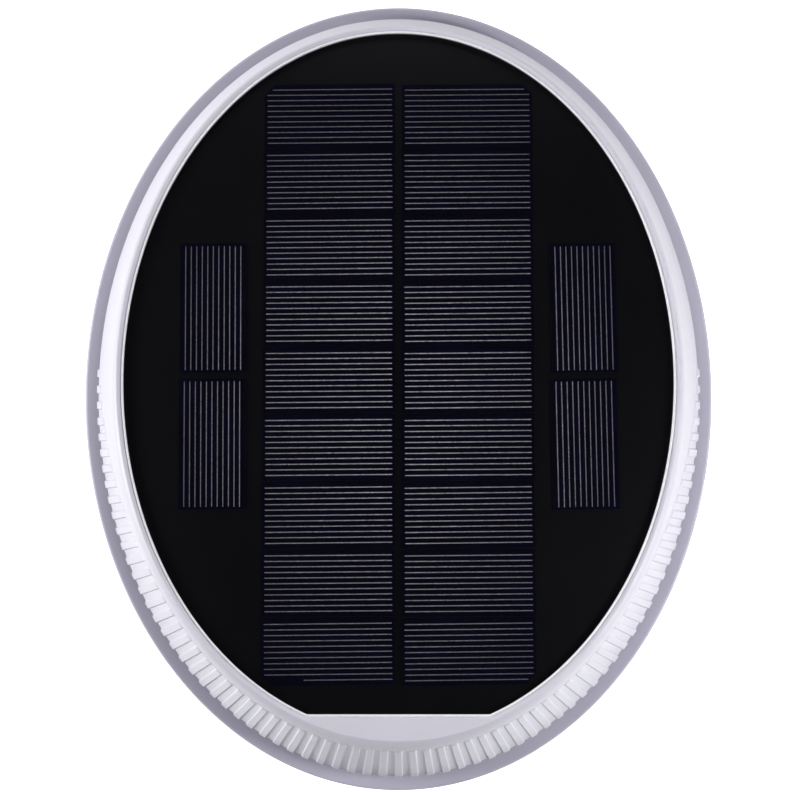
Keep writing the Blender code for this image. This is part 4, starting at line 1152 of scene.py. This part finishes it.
def build_grille():
    """A flat disc with two rings of slots, its edges rounded, made from one filled outline."""
    thick = GRILLE_HIGH.z - GRILLE_LOW.z
    curve = bpy.data.curves.new("grille", "CURVE")
    curve.dimensions = "2D"
    curve.fill_mode = "BOTH"
    curve.bevel_depth = GRILLE_ROUND
    curve.bevel_resolution = 2
    curve.offset = -GRILLE_ROUND
    curve.extrude = thick / 2 - GRILLE_ROUND
    outlines = [ellipse(GRILLE_HIGH.x, GRILLE_HIGH.x, 0.0, GRILLE_SEGMENTS)]
    for count, inner, outer, width in GRILLE_SLOT_RINGS:
        for index in range(count):
            outlines.append(slot_points(inner, outer, width, math.tau * (index + 0.5) / count))
    for outline in outlines:
        spline = curve.splines.new("POLY")
        spline.points.add(len(outline) - 1)
        for place, point in zip(spline.points, outline):
            place.co = (point.x, point.y, 0.0, 1.0)
        spline.use_cyclic_u = True
    obj = bpy.data.objects.new("grille_outline", curve)
    bpy.context.scene.collection.objects.link(obj)
    flat = evaluated(obj)
    bpy.data.objects.remove(obj, do_unlink=True)
    shape = bmesh.new()
    shape.from_mesh(flat)
    bmesh.ops.remove_doubles(shape, verts=shape.verts, dist=MERGE_DISTANCE)
    bmesh.ops.translate(shape, verts=shape.verts, vec=(0.0, 0.0, GRILLE_LOW.z + thick / 2))
    places = round_places(GRILLE_LUG_ANGLES, GRILLE_SCREW_REACH)
    seats = cylinders(places, SCREW_HEAD_RADIUS + GAP, -OVERCUT, SCREW_HEAD_HEIGHT + GAP)
    low = OVERCUT / 2
    shanks = cylinders(places, SCREW_RADIUS + GAP, low, thick + OVERCUT, SHANK_SEGMENTS)
    mesh = boolean(new_mesh("grille", shape), [("DIFFERENCE", seats), ("DIFFERENCE", shanks)])
    add_piece("grille", mesh, [GRILLE_PLASTIC], ("intake_grille",))


# ---------------- screws


def cross_recess():
    """A cross-shaped cutter that tapers into the screw's head from just outside its face."""
    mouth, point = RECESS_END_RADII
    length = RECESS_LENGTH_SHARE * SCREW_HEAD_RADIUS
    width = RECESS_WIDTH_SHARE * SCREW_HEAD_RADIUS
    shape = bmesh.new()
    for turn in (0.0, math.pi / 2):
        made = bmesh.ops.create_cone(
            shape,
            cap_ends=True,
            segments=4,
            radius1=mouth,
            radius2=point,
            depth=1.0,
            matrix=Matrix.Rotation(turn, 4, "Z") @ Matrix.Diagonal((length, width, 1.0, 1.0)),
        )
        turned_in = Matrix.Rotation(math.pi / 4, 4, "Z")
        bmesh.ops.transform(shape, matrix=turned_in, verts=made["verts"])
        for vert in made["verts"]:
            vert.co.z = (vert.co.z + 0.5) * (RECESS_DEPTH + RECESS_LIFT) - RECESS_LIFT
    return new_mesh("cross", shape)


def screw_mesh(length):
    """A screw that points up, its head's face at height 0, with a cross recess and a cut thread."""
    corners = (
        (PINHOLE_RADIUS, 0.0, 0.0),
        (SCREW_HEAD_RADIUS, 0.0, SCREW_FACE_ROUND),
        (SCREW_HEAD_RADIUS, SCREW_HEAD_HEIGHT, SCREW_NECK_ROUND),
        (PINHOLE_RADIUS, SCREW_HEAD_HEIGHT, 0.0),
    )
    head = turned("screw", corners, SCREW_HEAD_SEGMENTS)
    head = boolean(head, [("DIFFERENCE", cross_recess())])
    step = THREAD_PITCH / THREAD_STEPS
    rings = []
    rows = int((length - SCREW_HEAD_HEIGHT) / step)
    for row in range(rows + 1):
        z = SCREW_HEAD_HEIGHT + row * step
        left = (length - z) / (2 * SCREW_RADIUS)
        narrowing = min(1.0, SCREW_TIP_SHARE + left)
        ring = []
        for index in range(THREAD_SEGMENTS):
            phase = (z / THREAD_PITCH - index / THREAD_SEGMENTS) % 1.0
            crest = max(0.0, 1.0 - abs(phase - 0.5) * THREAD_STEEPNESS)
            radius = (SCREW_RADIUS - THREAD_DEPTH * (1.0 - crest)) * narrowing
            angle = math.tau * index / THREAD_SEGMENTS
            ring.append(Vector((radius * math.cos(angle), radius * math.sin(angle), z)))
        rings.append(ring)
    shape = bmesh.new()
    shape.from_mesh(head)
    shape.from_mesh(loft("shank", rings))
    return new_mesh("screw", shape)


def build_screws():
    for kind, count, upward in (
        ("hood_screw", 4, True),
        ("bracket_screw", 3, False),
        ("motor_screw", 2, False),
        ("grille_screw", 3, True),
    ):
        low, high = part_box(f"{kind}_1")
        mesh = screw_mesh(high.z - low.z)
        for number in range(1, count + 1):
            node = f"{kind}_{number}"
            low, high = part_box(node)
            middle = (low + high) / 2
            flip = Matrix.Identity(4) if upward else Matrix.Rotation(math.pi, 4, "X")
            face_z = low.z if upward else high.z
            copy = mesh.copy()
            copy.transform(Matrix.Translation((middle.x, middle.y, face_z)) @ flip)
            add_piece(f"{node}_threaded", copy, [SCREW_STEEL], (node,))


# ---------------- CAD nodes that stay


def dress(node, material, edge):
    """Gives a CAD node its material and a small rounding of its edges."""
    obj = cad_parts[node]
    for held in obj.material_slots:
        held.material = material
    weld = obj.modifiers.new("weld", "WELD")
    weld.merge_threshold = MERGE_DISTANCE
    if edge:
        bevel = obj.modifiers.new("edges", "BEVEL")
        bevel.width = edge
        bevel.segments = 2
        bevel.limit_method = "ANGLE"
        bevel.angle_limit = math.radians(SHARP_ANGLE)
        bevel.use_clamp_overlap = True
    for polygon in obj.data.polygons:
        polygon.use_smooth = True
    smooth = obj.modifiers.new("smooth", "WEIGHTED_NORMAL")
    smooth.keep_sharp = False


def dress_nodes():
    for node, material in (
        ("junction_box", BLACK),
        ("junction_box_lid", BLACK),
        ("motor_housing", ZINC),
        ("motor_end_cap", BLACK),
        ("motor_bracket", BRACKET_PLASTIC),
        ("motor_stator", WINDING),
        ("motor_circuit_board", CIRCUIT),
        ("thermal_switch", BAKELITE),
        ("motor_bearing_lower", BRIGHT),
        ("motor_bearing_upper", BRIGHT),
        ("motor_shaft", BRIGHT),
        ("motor_rotor_magnet", FERRITE),
        ("impeller_nut", ZINC),
    ):
        dress(node, material, CAD_EDGE)
    for node, material in (
        ("positive_lead", RED),
        ("motor_link_lead", RED),
        ("negative_lead", BLACK_WIRE),
    ):
        dress(node, material, 0.0)


# ---------------- stage


def floor_material():
    made, tree, shader = node_material("pale_floor")
    shade = ramp_range(tree, noise_node(tree, 3.0), 0.0, 1.0)
    mixed = mix_colors(tree, shade, (0.90, 0.90, 0.90), (0.93, 0.93, 0.93))
    tree.links.new(mixed, shader.inputs["Base Color"])
    shader.inputs["Roughness"].default_value = 0.9
    shader.inputs["Emission Color"].default_value = (1.0, 1.0, 1.0, 1.0)
    shader.inputs["Emission Strength"].default_value = 0.85
    clear = tree.nodes.new("ShaderNodeBsdfTransparent")
    sides = tree.nodes.new("ShaderNodeMixShader")
    facing = tree.nodes.new("ShaderNodeNewGeometry")
    tree.links.new(facing.outputs["Backfacing"], sides.inputs["Fac"])
    tree.links.new(shader.outputs["BSDF"], sides.inputs[1])
    tree.links.new(clear.outputs["BSDF"], sides.inputs[2])
    tree.links.new(sides.outputs["Shader"], tree.nodes["Material Output"].inputs["Surface"])
    return made


def build_floor():
    shape = bmesh.new()
    bmesh.ops.create_grid(shape, x_segments=FLOOR_CELLS, y_segments=FLOOR_CELLS, size=FLOOR_SIZE)
    floor = bpy.data.objects.new("floor", new_mesh("floor", shape))
    bpy.context.scene.collection.objects.link(floor)
    floor.location.z = -FLOOR_DROP
    floor.data.materials.append(floor_material())
    floor.visible_diffuse = False


def add_light(name, place, size, power):
    lamp = bpy.data.lights.new(name, "AREA")
    lamp.shape = "RECTANGLE"
    lamp.size, lamp.size_y = size
    lamp.energy = power
    obj = bpy.data.objects.new(name, lamp)
    bpy.context.scene.collection.objects.link(obj)
    obj.location = place
    aim = Vector(LIGHT_AIM) - Vector(place)
    obj.rotation_euler = aim.to_track_quat("-Z", "Y").to_euler()


def build_lights():
    for light in LIGHTS:
        add_light(*light)
    world = bpy.data.worlds.new("studio")
    bpy.context.scene.world = world
    world.use_nodes = True
    sky = world.node_tree.nodes["Background"]
    sky.inputs["Color"].default_value = SKY_COLOR
    sky.inputs["Strength"].default_value = SKY_STRENGTH


def build_camera():
    camera = bpy.data.cameras.new("camera")
    camera.lens = CAMERA_LENS
    camera.sensor_width = CAMERA_SENSOR
    obj = bpy.data.objects.new("camera", camera)
    bpy.context.scene.collection.objects.link(obj)
    obj.location = (*CAMERA_OFFSET, FLANGE_TOP + CAMERA_DISTANCE)
    bpy.context.scene.camera = obj


build_camera()
build_floor()
build_lights()
build_flange()
build_gasket()
build_hood()
build_panel()
build_impeller()
build_grille()
build_screws()
dress_nodes()
bpy.context.scene.view_settings.view_transform = "Standard"
